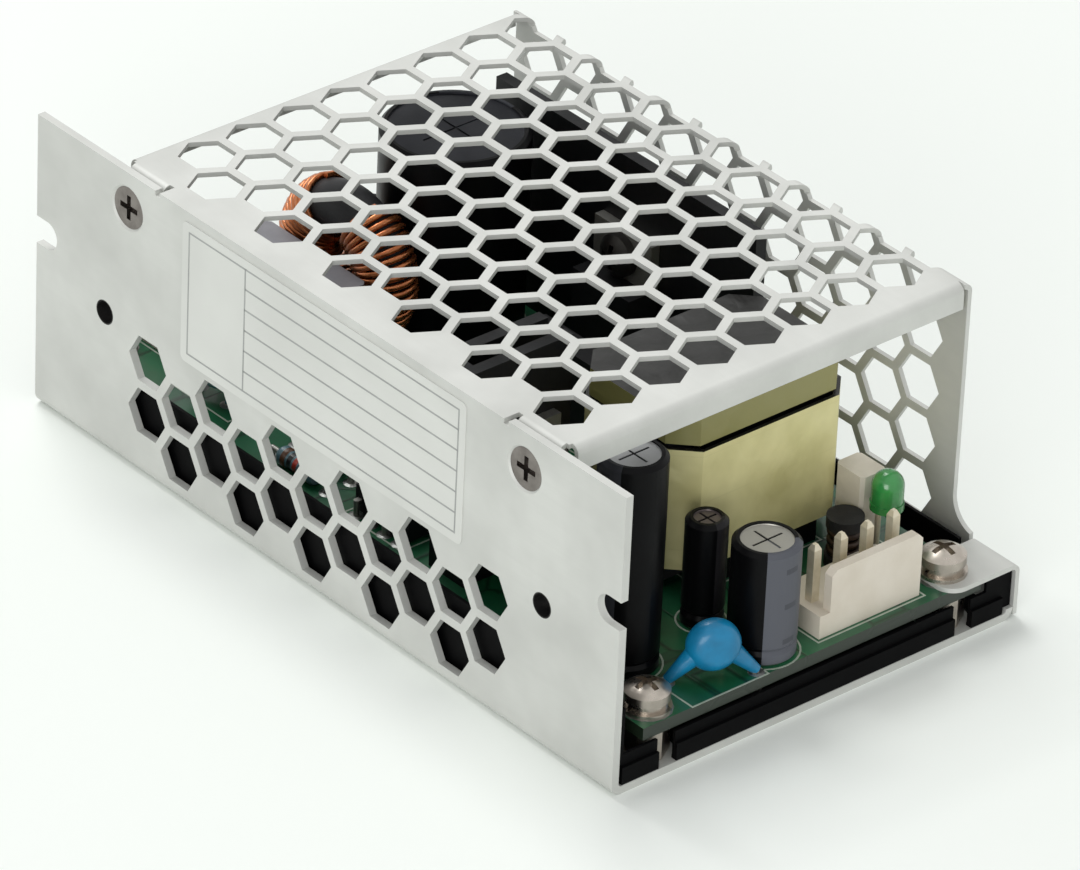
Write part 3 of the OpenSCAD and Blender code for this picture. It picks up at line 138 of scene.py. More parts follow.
@dataclass(frozen=True)
class Finish:
    """Finish with soft patches of tone and gloss and a fine surface grain.

    The colours are sRGB hex values. Sizes are millimetres on the object.
    """

    name: str
    colour: str
    shade: str
    roughness: float
    metallic: float = 0.0
    ior: float = 1.5
    coat: float = 0.0
    coat_roughness: float = 0.1
    transmission: float = 0.0
    gloss_spread: float = 0.06
    patch_mm: float = 8.0
    grain_mm: float = 0.5
    grain_depth_mm: float = 0.01
    bare: tuple[BareMetal, ...] = ()

    TIN = "#9C9B96"
    TIN_ROUGHNESS = 0.48
    # Values that the noise textures mostly stay within
    NOISE_RANGE = {"From Min": 0.3, "From Max": 0.7}

    def pattern(self, tree: Tree, place: Socket) -> Surface:
        """Lay out the finish.

        Args:
            tree: the material's node tree.
            place: object coordinates.

        Returns:
            Colour, roughness and height of the surface.
        """
        patches = add_node(tree, "ShaderNodeTexNoise", {
            "Vector": place, "Scale": per_mm(self.patch_mm), "Detail": 3.0})[0]
        grain = add_node(tree, "ShaderNodeTexNoise", {
            "Vector": place, "Scale": per_mm(self.grain_mm), "Detail": 2.0})[0]
        tone = add_node(tree, "ShaderNodeMapRange", {"Value": patches, **self.NOISE_RANGE})[0]
        colour = add_node(tree, "ShaderNodeMix", {
            0: tone, 6: linear(self.shade), 7: linear(self.colour)}, data_type="RGBA")[2]
        roughness = add_node(tree, "ShaderNodeMapRange", {
            "Value": patches, **self.NOISE_RANGE, "To Min": self.roughness + self.gloss_spread,
            "To Max": self.roughness - self.gloss_spread})[0]
        return Surface(colour, roughness, grain)

    def bare_metal(self, tree: Tree, place: Socket, surface: Surface) -> Surface:
        """Lay bare tinned metal over the stretches that the finish doesn't cover.

        Args:
            tree: the material's node tree.
            place: object coordinates.
            surface: the finish so far.

        Returns:
            The finish with its leads and tabs.
        """
        axes = add_node(tree, "ShaderNodeSeparateXYZ", {0: place})
        covers = None
        for zone in self.bare:
            for limit, side in ((zone.low_mm, "LESS_THAN"), (zone.high_mm, "GREATER_THAN")):
                mask = add_node(tree, "ShaderNodeMath", {
                    0: axes[zone.axis.value], 1: limit * MM}, operation=side)[0]
                covers = mask if covers is None else add_node(
                    tree, "ShaderNodeMath", {0: covers, 1: mask}, operation="MAXIMUM")[0]
        surface.layers.append((covers, self.TIN))
        surface.roughness = add_node(tree, "ShaderNodeMix", {
            0: covers, 2: surface.roughness, 3: self.TIN_ROUGHNESS}, data_type="FLOAT")[0]
        surface.metallic = covers
        return surface

    def build(self) -> Material:
        """Make the material.

        Returns:
            A material on object coordinates.
        """
        material = bpy.data.materials.new(self.name)
        material.use_nodes = True
        tree = material.node_tree
        shader = tree.nodes["Principled BSDF"]
        place = add_node(tree, "ShaderNodeTexCoord")["Object"]
        surface = self.pattern(tree, place)
        if self.bare:
            surface = self.bare_metal(tree, place, surface)
        colour = surface.colour
        for where, code in surface.layers:
            colour = add_node(tree, "ShaderNodeMix", {
                0: where, 6: colour, 7: linear(code)}, data_type="RGBA")[2]
        bump = add_node(tree, "ShaderNodeBump", {
            "Height": surface.height, "Distance": self.grain_depth_mm * MM, "Strength": 1.0})[0]
        constants = {"Metallic": self.metallic, "IOR": self.ior, "Coat Weight": self.coat,
                     "Coat Roughness": self.coat_roughness, "Transmission Weight": self.transmission}
        for name, value in constants.items():
            shader.inputs[name].default_value = value
        tree.links.new(colour, shader.inputs["Base Color"])
        tree.links.new(surface.roughness, shader.inputs["Roughness"])
        tree.links.new(bump, shader.inputs["Normal"])
        if surface.metallic is not None:
            tree.links.new(surface.metallic, shader.inputs["Metallic"])
        return material

    def dress(self, *nodes: str) -> Material:
        """Make the material and give it to CAD nodes.

        Args:
            *nodes: names of the nodes.

        Returns:
            The material.
        """
        material = self.build()
        for name in nodes:
            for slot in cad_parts[name].material_slots:
                slot.material = material
            LOG.info("%s: %s", name, material.name)
        return material


@dataclass(frozen=True)
class RolledSheet(Finish):
    """Zinc-plated steel sheet: dull grey, faintly clouded, with the mill's rolling lines along X."""

    line_mm: float = 0.6
    run_mm: float = 26.0
    line_share: float = 0.35

    def pattern(self, tree: Tree, place: Socket) -> Surface:
        """Lay rolling lines over the clouded plate.

        Args:
            tree: the material's node tree.
            place: object coordinates.

        Returns:
            The plate with its lines.
        """
        surface = super().pattern(tree, place)
        stretched = add_node(tree, "ShaderNodeMapping", {
            "Vector": place,
            "Scale": (per_mm(self.run_mm), per_mm(self.line_mm), per_mm(self.line_mm))})[0]
        lines = add_node(tree, "ShaderNodeTexNoise", {
            "Vector": stretched, "Scale": 1.0, "Detail": 3.0})[0]
        faint = add_node(tree, "ShaderNodeMath", {
            0: lines, 1: self.line_share}, operation="MULTIPLY")[0]
        surface.layers.append((faint, self.shade))
        surface.height = add_node(tree, "ShaderNodeMath", {
            0: surface.height, 1: lines}, operation="ADD")[0]
        return surface


@dataclass(frozen=True)
class CanSleeve(Finish):
    """Shrink sleeve on an aluminium can, with a printed polarity stripe and a bare top."""

    x_mm: float = 0.0
    y_mm: float = 0.0
    radius_mm: float = 4.0
    top_mm: float = 30.0
    stripe: str = "#55585F"
    stripe_angle: float = 0.0
    stripe_half_angle: float = 34.0
    cap_top: str = "#8E9091"

    RIM_MM = 0.95
    RECESS_MM = 0.35
    MARK_STEP_MM = 4.6
    MARK_MM = 0.7
    MARK_HALF_ANGLE = 13.0
    MARK_DEPTH = 0.3
    TOP_METALLIC = 0.55

    def pattern(self, tree: Tree, place: Socket) -> Surface:
        """Lay the stripe, its minus marks and the bare top over the sleeve.

        Args:
            tree: the material's node tree.
            place: object coordinates.

        Returns:
            The printed sleeve.
        """
        surface = super().pattern(tree, place)
        turned = add_node(tree, "ShaderNodeMapping", {
            "Vector": place, "Rotation": (0.0, 0.0, math.radians(self.stripe_angle)),
            "Location": (self.x_mm * MM, self.y_mm * MM, 0.0)}, vector_type="TEXTURE")[0]
        axes = add_node(tree, "ShaderNodeSeparateXYZ", {0: turned})
        flat = add_node(tree, "ShaderNodeCombineXYZ", {0: axes["X"], 1: axes["Y"]})[0]
        known: dict[str, Socket] = {
            "x": axes["X"], "y": axes["Y"], "z": axes["Z"],
            "out": add_node(tree, "ShaderNodeVectorMath", {0: flat}, operation="LENGTH")["Value"]}
        # Each step is a Math node: its name, what it does, and numbers or the names of earlier steps
        for name, operation, *values in (
                ("angle", "ARCTAN2", "y", "x"),
                ("around", "ABSOLUTE", "angle"),
                ("in_stripe", "LESS_THAN", "around", math.radians(self.stripe_half_angle)),
                ("across_mark", "LESS_THAN", "around", math.radians(self.MARK_HALF_ANGLE)),
                ("along", "MODULO", "z", self.MARK_STEP_MM * MM),
                ("along_mark", "LESS_THAN", "along", self.MARK_MM * MM),
                ("in_mark", "MULTIPLY", "along_mark", "across_mark"),
                ("mark", "MULTIPLY", "in_mark", self.MARK_DEPTH),
                ("printed", "SUBTRACT", "in_stripe", "mark"),
                ("inside", "LESS_THAN", "out", (self.radius_mm - self.RIM_MM) * MM),
                ("high", "GREATER_THAN", "z", (self.top_mm - self.RECESS_MM) * MM),
                ("top", "MULTIPLY", "inside", "high"),
                ("metallic", "MULTIPLY", "top", self.TOP_METALLIC)):
            known[name] = add_node(tree, "ShaderNodeMath", {
                i: known.get(v, v) for i, v in enumerate(values)}, operation=operation)[0]
        surface.layers.append((known["printed"], self.stripe))
        surface.layers.append((known["top"], self.cap_top))
        surface.metallic = known["metallic"]
        return surface

    def bare_metal(self, tree: Tree, place: Socket, surface: Surface) -> Surface:
        """Add the leads without losing the bare top.

        Args:
            tree: the material's node tree.
            place: object coordinates.
            surface: the sleeve so far.

        Returns:
            The sleeve with its leads.
        """
        top = surface.metallic
        surface = super().bare_metal(tree, place, surface)
        surface.metallic = add_node(tree, "ShaderNodeMath", {
            0: surface.metallic, 1: top}, operation="MAXIMUM")[0]
        return surface


@dataclass(frozen=True)
class SolderMask(Finish):
    """Green solder mask over copper areas, with the bare laminate at the board's edges."""

    edge: str = "#1C271C"
    line: str = "#0A2E1C"
    area_mm: float = 9.0
    gap_mm: float = 0.5
    disorder: float = 0.85

    # Upright share of a face's normal, below which it is the board's cut edge
    LEVEL = 0.5

    def pattern(self, tree: Tree, place: Socket) -> Surface:
        """Lay the gaps between copper areas and the cut edge over the mask.

        Args:
            tree: the material's node tree.
            place: object coordinates.

        Returns:
            The mask on its board.
        """
        surface = super().pattern(tree, place)
        nearest, second = (add_node(tree, "ShaderNodeTexVoronoi", {
            "Vector": place, "Scale": per_mm(self.area_mm), "Randomness": self.disorder},
            feature=feature, distance="CHEBYCHEV")["Distance"] for feature in ("F1", "F2"))
        apart = add_node(tree, "ShaderNodeMath", {0: second, 1: nearest}, operation="SUBTRACT")[0]
        copper = add_node(tree, "ShaderNodeMapRange", {
            "Value": apart, "From Max": self.gap_mm / self.area_mm})[0]
        surface.colour = add_node(tree, "ShaderNodeMix", {
            0: copper, 6: linear(self.line), 7: surface.colour}, data_type="RGBA")[2]
        normal = add_node(tree, "ShaderNodeNewGeometry")["True Normal"]
        up = add_node(tree, "ShaderNodeSeparateXYZ", {0: normal})["Z"]
        up = add_node(tree, "ShaderNodeMath", {0: up}, operation="ABSOLUTE")[0]
        cut = add_node(tree, "ShaderNodeMath", {0: up, 1: self.LEVEL}, operation="LESS_THAN")[0]
        surface.layers.append((cut, self.edge))
        surface.height = copper
        return surface


@dataclass(frozen=True)
class WoundTape(Finish):
    """Polyester tape wound in layers: thin, a little crumpled, its turns showing as level lines."""

    # Painted shade: above a set height the tape is a darker olive, partly the core tape band's own colour,
    # partly the shade under the cover's lip
    olive_tape_and_shade: str = "#8F8B55"
    shaded_above_mm: float = 25.8
    # Painted shade: near black for faces that face up, for the shade that falls on them under the cover
    painted_top_shade: str = "#1A1917"
    turn_mm: float = 6.2
    edge_mm: float = 0.25
    edge_share: float = 0.3
    crease_mm: float = 5.0
    crease_depth: float = 30.0

    # Upright share of a face's normal, above which a face is a top face, which is painted near black as shade
    LEVEL = 0.9

    def pattern(self, tree: Tree, place: Socket) -> Surface:
        """Lay turn edges and creases over the tape, with painted shade: a darker olive above a set height,
        partly the band's own colour, and near black on faces that face up.

        Args:
            tree: the material's node tree.
            place: object coordinates.

        Returns:
            The wound tape.
        """
        surface = super().pattern(tree, place)
        axes = add_node(tree, "ShaderNodeSeparateXYZ", {0: place})
        turn = add_node(tree, "ShaderNodeMath", {
            0: axes["Z"], 1: self.turn_mm * MM}, operation="MODULO")[0]
        edge = add_node(tree, "ShaderNodeMapRange", {
            "Value": turn, "From Max": self.edge_mm * MM, "To Min": self.edge_share, "To Max": 0.0})[0]
        surface.layers.append((edge, self.shade))
        # Painted shade above the set height: a darker olive, partly the band's own colour, partly the shade
        # under the cover's lip
        above = add_node(tree, "ShaderNodeMath", {
            0: axes["Z"], 1: self.shaded_above_mm * MM}, operation="GREATER_THAN")[0]
        surface.layers.append((above, self.olive_tape_and_shade))
        # Painted shade: faces that face up turn near black, for the shade that falls on them under the cover
        normal = add_node(tree, "ShaderNodeNewGeometry")["True Normal"]
        up = add_node(tree, "ShaderNodeSeparateXYZ", {0: normal})["Z"]
        top = add_node(tree, "ShaderNodeMath", {0: up, 1: self.LEVEL}, operation="GREATER_THAN")[0]
        surface.layers.append((top, self.painted_top_shade))
        creases = add_node(tree, "ShaderNodeTexNoise", {
            "Vector": place, "Scale": per_mm(self.crease_mm), "Detail": 2.0, "Distortion": 0.6})[0]
        deep = add_node(tree, "ShaderNodeMath", {
            0: creases, 1: self.crease_depth}, operation="MULTIPLY")[0]
        surface.height = add_node(tree, "ShaderNodeMath", {
            0: surface.height, 1: deep}, operation="ADD")[0]
        return surface


@dataclass(frozen=True)
class BandedLacquer(Finish):
    """Lacquered resistor body with four plain colour rings around it."""

    x_mm: float = 0.0
    rings: tuple[tuple[float, str], ...] = ()
    ring_mm: float = 0.7

    def pattern(self, tree: Tree, place: Socket) -> Surface:
        """Lay the rings over the lacquer.

        Args:
            tree: the material's node tree.
            place: object coordinates.

        Returns:
            The ringed lacquer.
        """
        surface = super().pattern(tree, place)
        along = add_node(tree, "ShaderNodeSeparateXYZ", {0: place})["X"]
        for offset, colour in self.rings:
            ring = add_node(tree, "ShaderNodeMath", {
                0: along, 1: (self.x_mm + offset) * MM, 2: self.ring_mm / 2 * MM},
                operation="COMPARE")[0]
            surface.layers.append((ring, colour))
        return surface


@dataclass(frozen=True)
class BrushedPlate(Finish):
    """Drawn aluminium plate with fine upright lines."""

    line_mm: float = 0.35
    run_mm: float = 20.0

    def pattern(self, tree: Tree, place: Socket) -> Surface:
        """Lay the drawing lines over the plate.

        Args:
            tree: the material's node tree.
            place: object coordinates.

        Returns:
            The plate with its lines.
        """
        surface = super().pattern(tree, place)
        stretched = add_node(tree, "ShaderNodeMapping", {
            "Vector": place,
            "Scale": (per_mm(self.line_mm), per_mm(self.line_mm), per_mm(self.run_mm))})[0]
        surface.height = add_node(tree, "ShaderNodeTexNoise", {
            "Vector": stretched, "Scale": 1.0, "Detail": 3.0})[0]
        return surface


def box_mm(node: str) -> tuple[Vector, Vector]:
    """Lowest and highest corner of a CAD node, in millimetres."""
    low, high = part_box(node)
    return low / MM, high / MM


def middle_mm(node: str) -> Vector:
    """Middle of a CAD node's box, in millimetres."""
    low, high = box_mm(node)
    return (low + high) / 2


def add_piece(name: str, mesh: Mesh, slot: str, *replaced: str) -> bpy.types.Object:
    """Add a piece that rides on the supply.

    Args:
        name: the piece's name.
        mesh: its mesh, in the object's frame.
        slot: name of a material slot; not used.
        *replaced: CAD nodes that it stands for.

    Returns:
        The new object.
    """
    piece = bpy.data.objects.new(name, mesh)
    bpy.context.scene.collection.objects.link(piece)
    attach(piece, BODY)
    if replaced:
        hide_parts(*replaced)
    LOG.info("%s: %d faces", name, len(mesh.polygons))
    return piece


def mesh_from(bm: bmesh.types.BMesh, name: str, material: Material) -> Mesh:
    """Turn a bmesh into a mesh with outward faces.

    Args:
        bm: the shape; it is freed.
        name: the mesh's name.
        material: its finish.

    Returns:
        The new mesh.
    """
    bmesh.ops.recalc_face_normals(bm, faces=bm.faces)
    mesh = bpy.data.meshes.new(name)
    bm.to_mesh(mesh)
    bm.free()
    mesh.materials.append(material)
    return mesh


def full_turn(steps: int) -> list[float]:
    """Angles of a full turn in equal steps, in radians."""
    return [2 * math.pi * i / steps for i in range(steps)]


def prism(bm: bmesh.types.BMesh, outline: Sequence[Vector], rise: Vector) -> None:
    """Add a closed prism to a bmesh.

    Args:
        bm: the bmesh to add to.
        outline: corners of one end face, in metres.
        rise: step from that end to the other.
    """
    first = [bm.verts.new(p) for p in outline]
    second = [bm.verts.new(p + rise) for p in outline]
    bm.faces.new(first)
    bm.faces.new(second)
    for i, low in enumerate(first):
        j = (i + 1) % len(first)
        bm.faces.new((low, first[j], second[j], second[i]))


def flat_ring(bm: bmesh.types.BMesh, outer: Sequence[Vector], inner: Sequence[Vector], rise: Vector) -> None:
    """Add a closed flat ring between two outlines with as many corners.

    Args:
        bm: the bmesh to add to.
        outer: corners of the outer outline, in metres.
        inner: corners of the inner outline, in metres.
        rise: step from one flat side to the other.
    """
    loops = [[bm.verts.new(p + step) for p in line]
             for step in (Vector(), rise) for line in (outer, inner)]
    low_out, low_in, high_out, high_in = loops
    for a, b in ((low_out, low_in), (high_out, high_in), (low_out, high_out), (low_in, high_in)):
        for i, corner in enumerate(a):
            j = (i + 1) % len(a)
            bm.faces.new((corner, a[j], b[j], b[i]))


class NodeShape:
    """Shape made by a geometry node tree with named sizes.

    Attributes:
        tree: the node tree, which ends in Realize Instances and Set Material.
        sizes: socket identifier and value of each named input.
        inputs: sockets of the named inputs inside the tree.
    """

    def __init__(self, name: str, sizes: dict[str, float]) -> None:
        """Start a tree with its inputs.

        Args:
            name: the tree's name.
            sizes: named inputs and their values; a whole number makes a count.
        """
        self.tree = bpy.data.node_groups.new(name, "GeometryNodeTree")
        face = self.tree.interface
        face.new_socket("Geometry", in_out="INPUT", socket_type="NodeSocketGeometry")
        face.new_socket("Geometry", in_out="OUTPUT", socket_type="NodeSocketGeometry")
        self.sizes: dict[str, float] = {}
        for label, value in sizes.items():
            kind = "NodeSocketInt" if isinstance(value, int) else "NodeSocketFloat"
            self.sizes[face.new_socket(label, in_out="INPUT", socket_type=kind).identifier] = value
        self.inputs = add_node(self.tree, "NodeGroupInput")

    def finish(self, geometry: Socket, material: Material, points: Sequence[Vector], name: str) -> Mesh:
        """Close the tree, run it and keep its result as a plain mesh.

        Args:
            geometry: the shape so far.
            material: its finish.
            points: points that the tree starts from, in metres.
            name: the mesh's name.

        Returns:
            The plain mesh.
        """
        whole = add_node(self.tree, "GeometryNodeRealizeInstances", {0: geometry})[0]
        dressed = add_node(self.tree, "GeometryNodeSetMaterial", {
            "Geometry": whole, "Material": material})[0]
        add_node(self.tree, "NodeGroupOutput", {0: dressed})
        seed = bpy.data.meshes.new(name + "_points")
        seed.from_pydata(list(points), [], [])
        carrier = bpy.data.objects.new(name + "_points", seed)
        bpy.context.scene.collection.objects.link(carrier)
        modifier = carrier.modifiers.new(name, "NODES")
        modifier.node_group = self.tree
        for identifier, value in self.sizes.items():
            modifier[identifier] = value
        depsgraph = bpy.context.evaluated_depsgraph_get()
        mesh = bpy.data.meshes.new_from_object(carrier.evaluated_get(depsgraph))
        mesh.name = name
        carrier.modifiers.remove(modifier)
        bpy.data.objects.remove(carrier)
        bpy.data.meshes.remove(seed)
        return mesh


@dataclass
class SheetCase:
    """Folded chassis and perforated cover, with their screws, tapped side holes and the blank label."""

    label_x0: float = -24.8
    label_x1: float = 25.1
    label_z0: float = 19.3
    label_z1: float = 37.7
    label_r: float = 0.8
    print_r: float = 0.05
    label_t: float = 0.1
    corner_steps: int = 6
    rule_w: float = 0.22
    rule_t: float = 0.015
    frame_inset: float = 1.1
    field_x: float = -13.5
    field_rows: int = 5
    wall_t: float = 1.0
    hole_x: float = 38.85
    hole_z: float = 18.6
    hole_r: float = 1.55
    thread_t: float = 0.15
    collar_r: float = 2.4
    collar_l: float = 2.2
    round_steps: int = 24

    # Zinc plate on rolled steel: dull cool grey, faintly clouded; its rolling lines are too fine to show, so
    # they are drawn coarser than real
    SHEET = RolledSheet("zinc_plated_steel", "#D2D3CF", "#C1C2BE", 0.6, metallic=0.4, patch_mm=11.0,
                        grain_mm=0.35, grain_depth_mm=0.006)
    # Metallised polyester sticker: even pale silver, smoother than the sheet around it
    LABEL = Finish("matt_silver_polyester_label", "#D3D4D0", "#CBCCC8", 0.5, metallic=0.2, patch_mm=14.0,
                   grain_mm=0.25, grain_depth_mm=0.002)
    # Screen print: thin matt grey lines
    INK = Finish("grey_print", "#9FA19F", "#949694", 0.6, patch_mm=3.0, grain_mm=0.2,
                 grain_depth_mm=0.001)
    # Dull nickel on the cover's screws: darker and softer than the bright screws inside
    SCREW = Finish("dull_nickel_plated_steel", "#8A8480", "#746E6A", 0.36, metallic=1.0, patch_mm=1.6,
                   grain_mm=0.25, grain_depth_mm=0.008)
    # Tapped bore: near black, as the flanks of its thread shade each other; the thread is too fine to show
    THREAD = Finish("tapped_steel_bore", "#2A2928", "#1C1B1B", 0.55, metallic=0.6, patch_mm=0.8,
                    grain_mm=0.25, grain_depth_mm=0.01)

    def build_holes(self, sheet: Material) -> None:
        """Add the drawn collars behind the wall's two side holes, and their tapped bores.

        Args:
            sheet: the wall's finish.
        """
        face = box_mm("chassis")[0].y
        end = face + self.wall_t + self.collar_l
        bore = self.hole_r - self.thread_t
        for name, outer, inner, start, look, slot in (
                ("side_hole_collars", self.collar_r, self.hole_r, face + self.wall_t, sheet, "chassis_sheet"),
                ("side_hole_threads", self.hole_r, bore, face, self.THREAD.build(), "plated_steel")):
            bm = bmesh.new()
            for x in (-self.hole_x, self.hole_x):
                rings = [[Vector((x + r * math.cos(a), start, self.hole_z + r * math.sin(a))) * MM
                          for a in full_turn(self.round_steps)] for r in (outer, inner)]
                flat_ring(bm, rings[0], rings[1], Vector((0, (end - start) * MM, 0)))
            add_piece(name, mesh_from(bm, name, look), slot)

    def outline(self, inset: float, y: float) -> list[Vector]:
        """Rounded outline of the label.

        Args:
            inset: distance inside the label's edge, in millimetres.
            y: place of the outline, in millimetres.

        Returns:
            Corners in metres, in turning order.
        """
        r = max(self.label_r - inset, self.print_r)
        x0, x1 = self.label_x0 + inset + r, self.label_x1 - inset - r
        z0, z1 = self.label_z0 + inset + r, self.label_z1 - inset - r
        points = []
        for k, (x, z) in enumerate(((x1, z1), (x0, z1), (x0, z0), (x1, z0))):
            for i in range(self.corner_steps + 1):
                a = math.radians(90 * (k + i / self.corner_steps))
                points.append(Vector((x + r * math.cos(a), y, z + r * math.sin(a))) * MM)
        return points

    def build_label(self) -> None:
        """Add the sticker, a thin plate with rounded corners, and its printed frame."""
        wall = box_mm("chassis")[0].y
        face = wall - self.label_t
        bm = bmesh.new()
        prism(bm, self.outline(0, wall), Vector((0, -self.label_t * MM, 0)))
        add_piece("label", mesh_from(bm, "label", self.LABEL.build()), "cover_sheet")
        ink = self.INK.build()
        bm = bmesh.new()
        flat_ring(bm, self.outline(self.frame_inset, face),
                  self.outline(self.frame_inset + self.rule_w, face), Vector((0, -self.rule_t * MM, 0)))
        add_piece("label_frame", mesh_from(bm, "label_frame", ink), "black_film")
        add_piece("label_fields", self.rules(face, ink), "black_film")

    def rules(self, face: float, ink: Material) -> Mesh:
        """Printed lines that divide the label into empty fields.

        Args:
            face: place of the label's face, in millimetres.
            ink: the print's finish.

        Returns:
            The lines' mesh.
        """
        x1 = self.label_x1 - self.frame_inset
        z0, z1 = self.label_z0 + self.frame_inset, self.label_z1 - self.frame_inset
        shape = NodeShape("label_fields", {
            "Rows": self.field_rows, "Step": (z1 - z0) / (self.field_rows + 1) * MM,
            "Length": (x1 - self.field_x) * MM, "Height": (z1 - z0) * MM,
            "Line width": self.rule_w * MM, "Line thickness": self.rule_t * MM})
        size, tree = shape.inputs, shape.tree
        step = add_node(tree, "ShaderNodeCombineXYZ", {"Z": size["Step"]})[0]
        spots = add_node(tree, "GeometryNodeMeshLine", {
            "Count": size["Rows"], "Start Location": (
                (self.field_x + x1) / 2 * MM, (face - self.rule_t / 2) * MM,
                (z0 + (z1 - z0) / (self.field_rows + 1)) * MM), "Offset": step})[0]
        bar = add_node(tree, "ShaderNodeCombineXYZ", {
            "X": size["Length"], "Y": size["Line thickness"], "Z": size["Line width"]})[0]
        bar = add_node(tree, "GeometryNodeMeshCube", {"Size": bar})[0]
        rows = add_node(tree, "GeometryNodeInstanceOnPoints", {"Points": spots, "Instance": bar})[0]
        post = add_node(tree, "ShaderNodeCombineXYZ", {
            "X": size["Line width"], "Y": size["Line thickness"], "Z": size["Height"]})[0]
        post = add_node(tree, "GeometryNodeMeshCube", {"Size": post})[0]
        post = add_node(tree, "GeometryNodeTransform", {"Geometry": post, "Translation": (
            self.field_x * MM, (face - self.rule_t / 2) * MM, (z0 + z1) / 2 * MM)})[0]
        both = add_node(tree, "GeometryNodeJoinGeometry", {0: [rows, post]})[0]
        return shape.finish(both, ink, [Vector()], "label_fields")

    def build(self) -> None:
        """Dress both sheets and their screws, and add the tapped holes and the label."""
        sheet = self.SHEET.dress("chassis", "cover")
        self.SCREW.dress("cover_screws")
        self.build_holes(sheet)
        self.build_label()


@dataclass
class Board:
    """Circuit board on its standoffs and film, with its print, pads and solder."""

    joint_r: float = 1.0
    joint_tip_r: float = 0.4
    joint_h: float = 1.0
    pad_tip_r: float = 0.6
    pad_h: float = 0.12
    cone_sides: int = 14
    tail: float = 0.5
    tail_end: float = 0.1
    lead_space: float = 1.3
    washer_r: float = 2.9
    screw_pad_r: float = 3.1
    screw_pad_h: float = 0.04
    print_w: float = 0.22
    print_t: float = 0.03
    print_gap: float = 0.35
    round_steps: int = 32

    # Solder mask over copper: deep glossy green, darker where the copper areas end
    MASK = SolderMask("green_solder_mask_on_laminate", "#1B6440", "#124C30", 0.36, coat=0.25,
                      patch_mm=6.0, grain_mm=0.4, grain_depth_mm=0.035)
    # Polyester film: smooth black with only a soft sheen
    FILM = Finish("black_polyester_film", "#060607", "#040405", 0.55, ior=1.15, patch_mm=9.0, grain_mm=0.6,
                  grain_depth_mm=0.01)
    # Nickel plate on steel: warm bright metal, a little uneven in tone
    NICKEL = Finish("nickel_plated_steel", "#BDB5AB", "#A69E95", 0.3, metallic=1.0, patch_mm=1.6,
                    grain_mm=0.25, grain_depth_mm=0.008)
    # Tin solder: satin grey that changes from joint to joint
    SOLDER = Finish("satin_tin_solder", "#9FA09D", "#868785", 0.42, metallic=1.0, patch_mm=0.8,
                    grain_mm=0.3, grain_depth_mm=0.01)
    # Board print: chalky white, thin in places
    PRINT = Finish("white_board_print", "#B4BDB0", "#9AA697", 0.6, patch_mm=1.5, grain_mm=0.2,
                   grain_depth_mm=0.004)

    ROUND = ("tall_output_capacitor", "striped_output_capacitor", "small_output_capacitor",
             "rear_output_capacitor", "supply_capacitor", "bulk_capacitor", "line_fuse", "indicator_lens")
    SQUARE = ("output_header_housing", "input_header_housing", "film_capacitor", "line_filter_capacitor",
              "safety_disc_capacitor", "surge_varistor", "inrush_thermistor", "bridge_rectifier",
              "control_chip", "optocoupler", "transformer_bobbin")
    NO_LEADS = ("insulation_film", "chassis", "cover", "board_screws", "board_standoffs")

    def lead_places(self) -> list[Point]:
        """Find where leads pass through the board.

        Returns:
            Places in metres, from the ends of the leads below the board.
        """
        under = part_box("circuit_board")[0].z
        places: list[Vector] = []
        for name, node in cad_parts.items():
            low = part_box(name)[0].z
            if name in self.NO_LEADS or low > under - self.tail * MM:
                continue
            ends = [v.co for v in node.data.vertices if v.co.z < low + self.tail_end * MM]
            groups: list[list[Vector]] = []
            for end in ends:
                near = [g for g in groups if (g[0].xy - end.xy).length < self.lead_space * MM]
                if near:
                    near[0].append(end)
                else:
                    groups.append([end])
            places += [sum(g, Vector()) / len(g) for g in groups]
        return [(p.x, p.y) for p in places]

    def cones(self, name: str, points: Sequence[Vector], radius: float, tip: float, height: float,
              material: Material) -> Mesh:
        """Instance a blunt cone on every point.

        Args:
            name: the mesh's name.
            points: feet of the cones, in metres.
            radius: radius at the foot, in millimetres.
            tip: radius at the tip, in millimetres.
            height: height in millimetres; a negative one hangs down.
            material: the finish.

        Returns:
            The cones' mesh.
        """
        shape = NodeShape(name, {"Foot radius": radius * MM, "Tip radius": tip * MM,
                                 "Height": abs(height) * MM, "Sides": self.cone_sides})
        size, tree = shape.inputs, shape.tree
        cone = add_node(tree, "GeometryNodeMeshCone", {
            "Vertices": size["Sides"], "Side Segments": 1, "Radius Top": size["Tip radius"],
            "Radius Bottom": size["Foot radius"], "Depth": size["Height"]})["Mesh"]
        cone = add_node(tree, "GeometryNodeTransform", {
            "Geometry": cone, "Rotation": (math.pi if height < 0 else 0.0, 0.0, 0.0)})[0]
        spread = add_node(tree, "GeometryNodeInstanceOnPoints", {
            "Points": size["Geometry"], "Instance": cone})[0]
        return shape.finish(spread, material, points, name)

    def build_joints(self) -> None:
        """Add a solder cone under each lead, a pad on top, and the bare pads around the screws."""
        low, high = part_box("circuit_board")
        tin = self.SOLDER.build()
        leads = self.lead_places()
        head_low, head_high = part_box("board_screws")
        inset = self.washer_r * MM
        corners = [(x, y) for x in (head_low.x + inset, head_high.x - inset)
                   for y in (head_low.y + inset, head_high.y - inset)]
        for name, places, level, foot, tip, height in (
                ("solder_joints", leads, low.z, self.joint_r, self.joint_tip_r, -self.joint_h),
                ("solder_pads", leads, high.z, self.joint_r, self.pad_tip_r, self.pad_h),
                ("screw_pads", corners, high.z, self.screw_pad_r, self.screw_pad_r, self.screw_pad_h)):
            feet = [Vector((x, y, level)) for x, y in places]
            add_piece(name, self.cones(name, feet, foot, tip, height, tin), "tinned_brass")

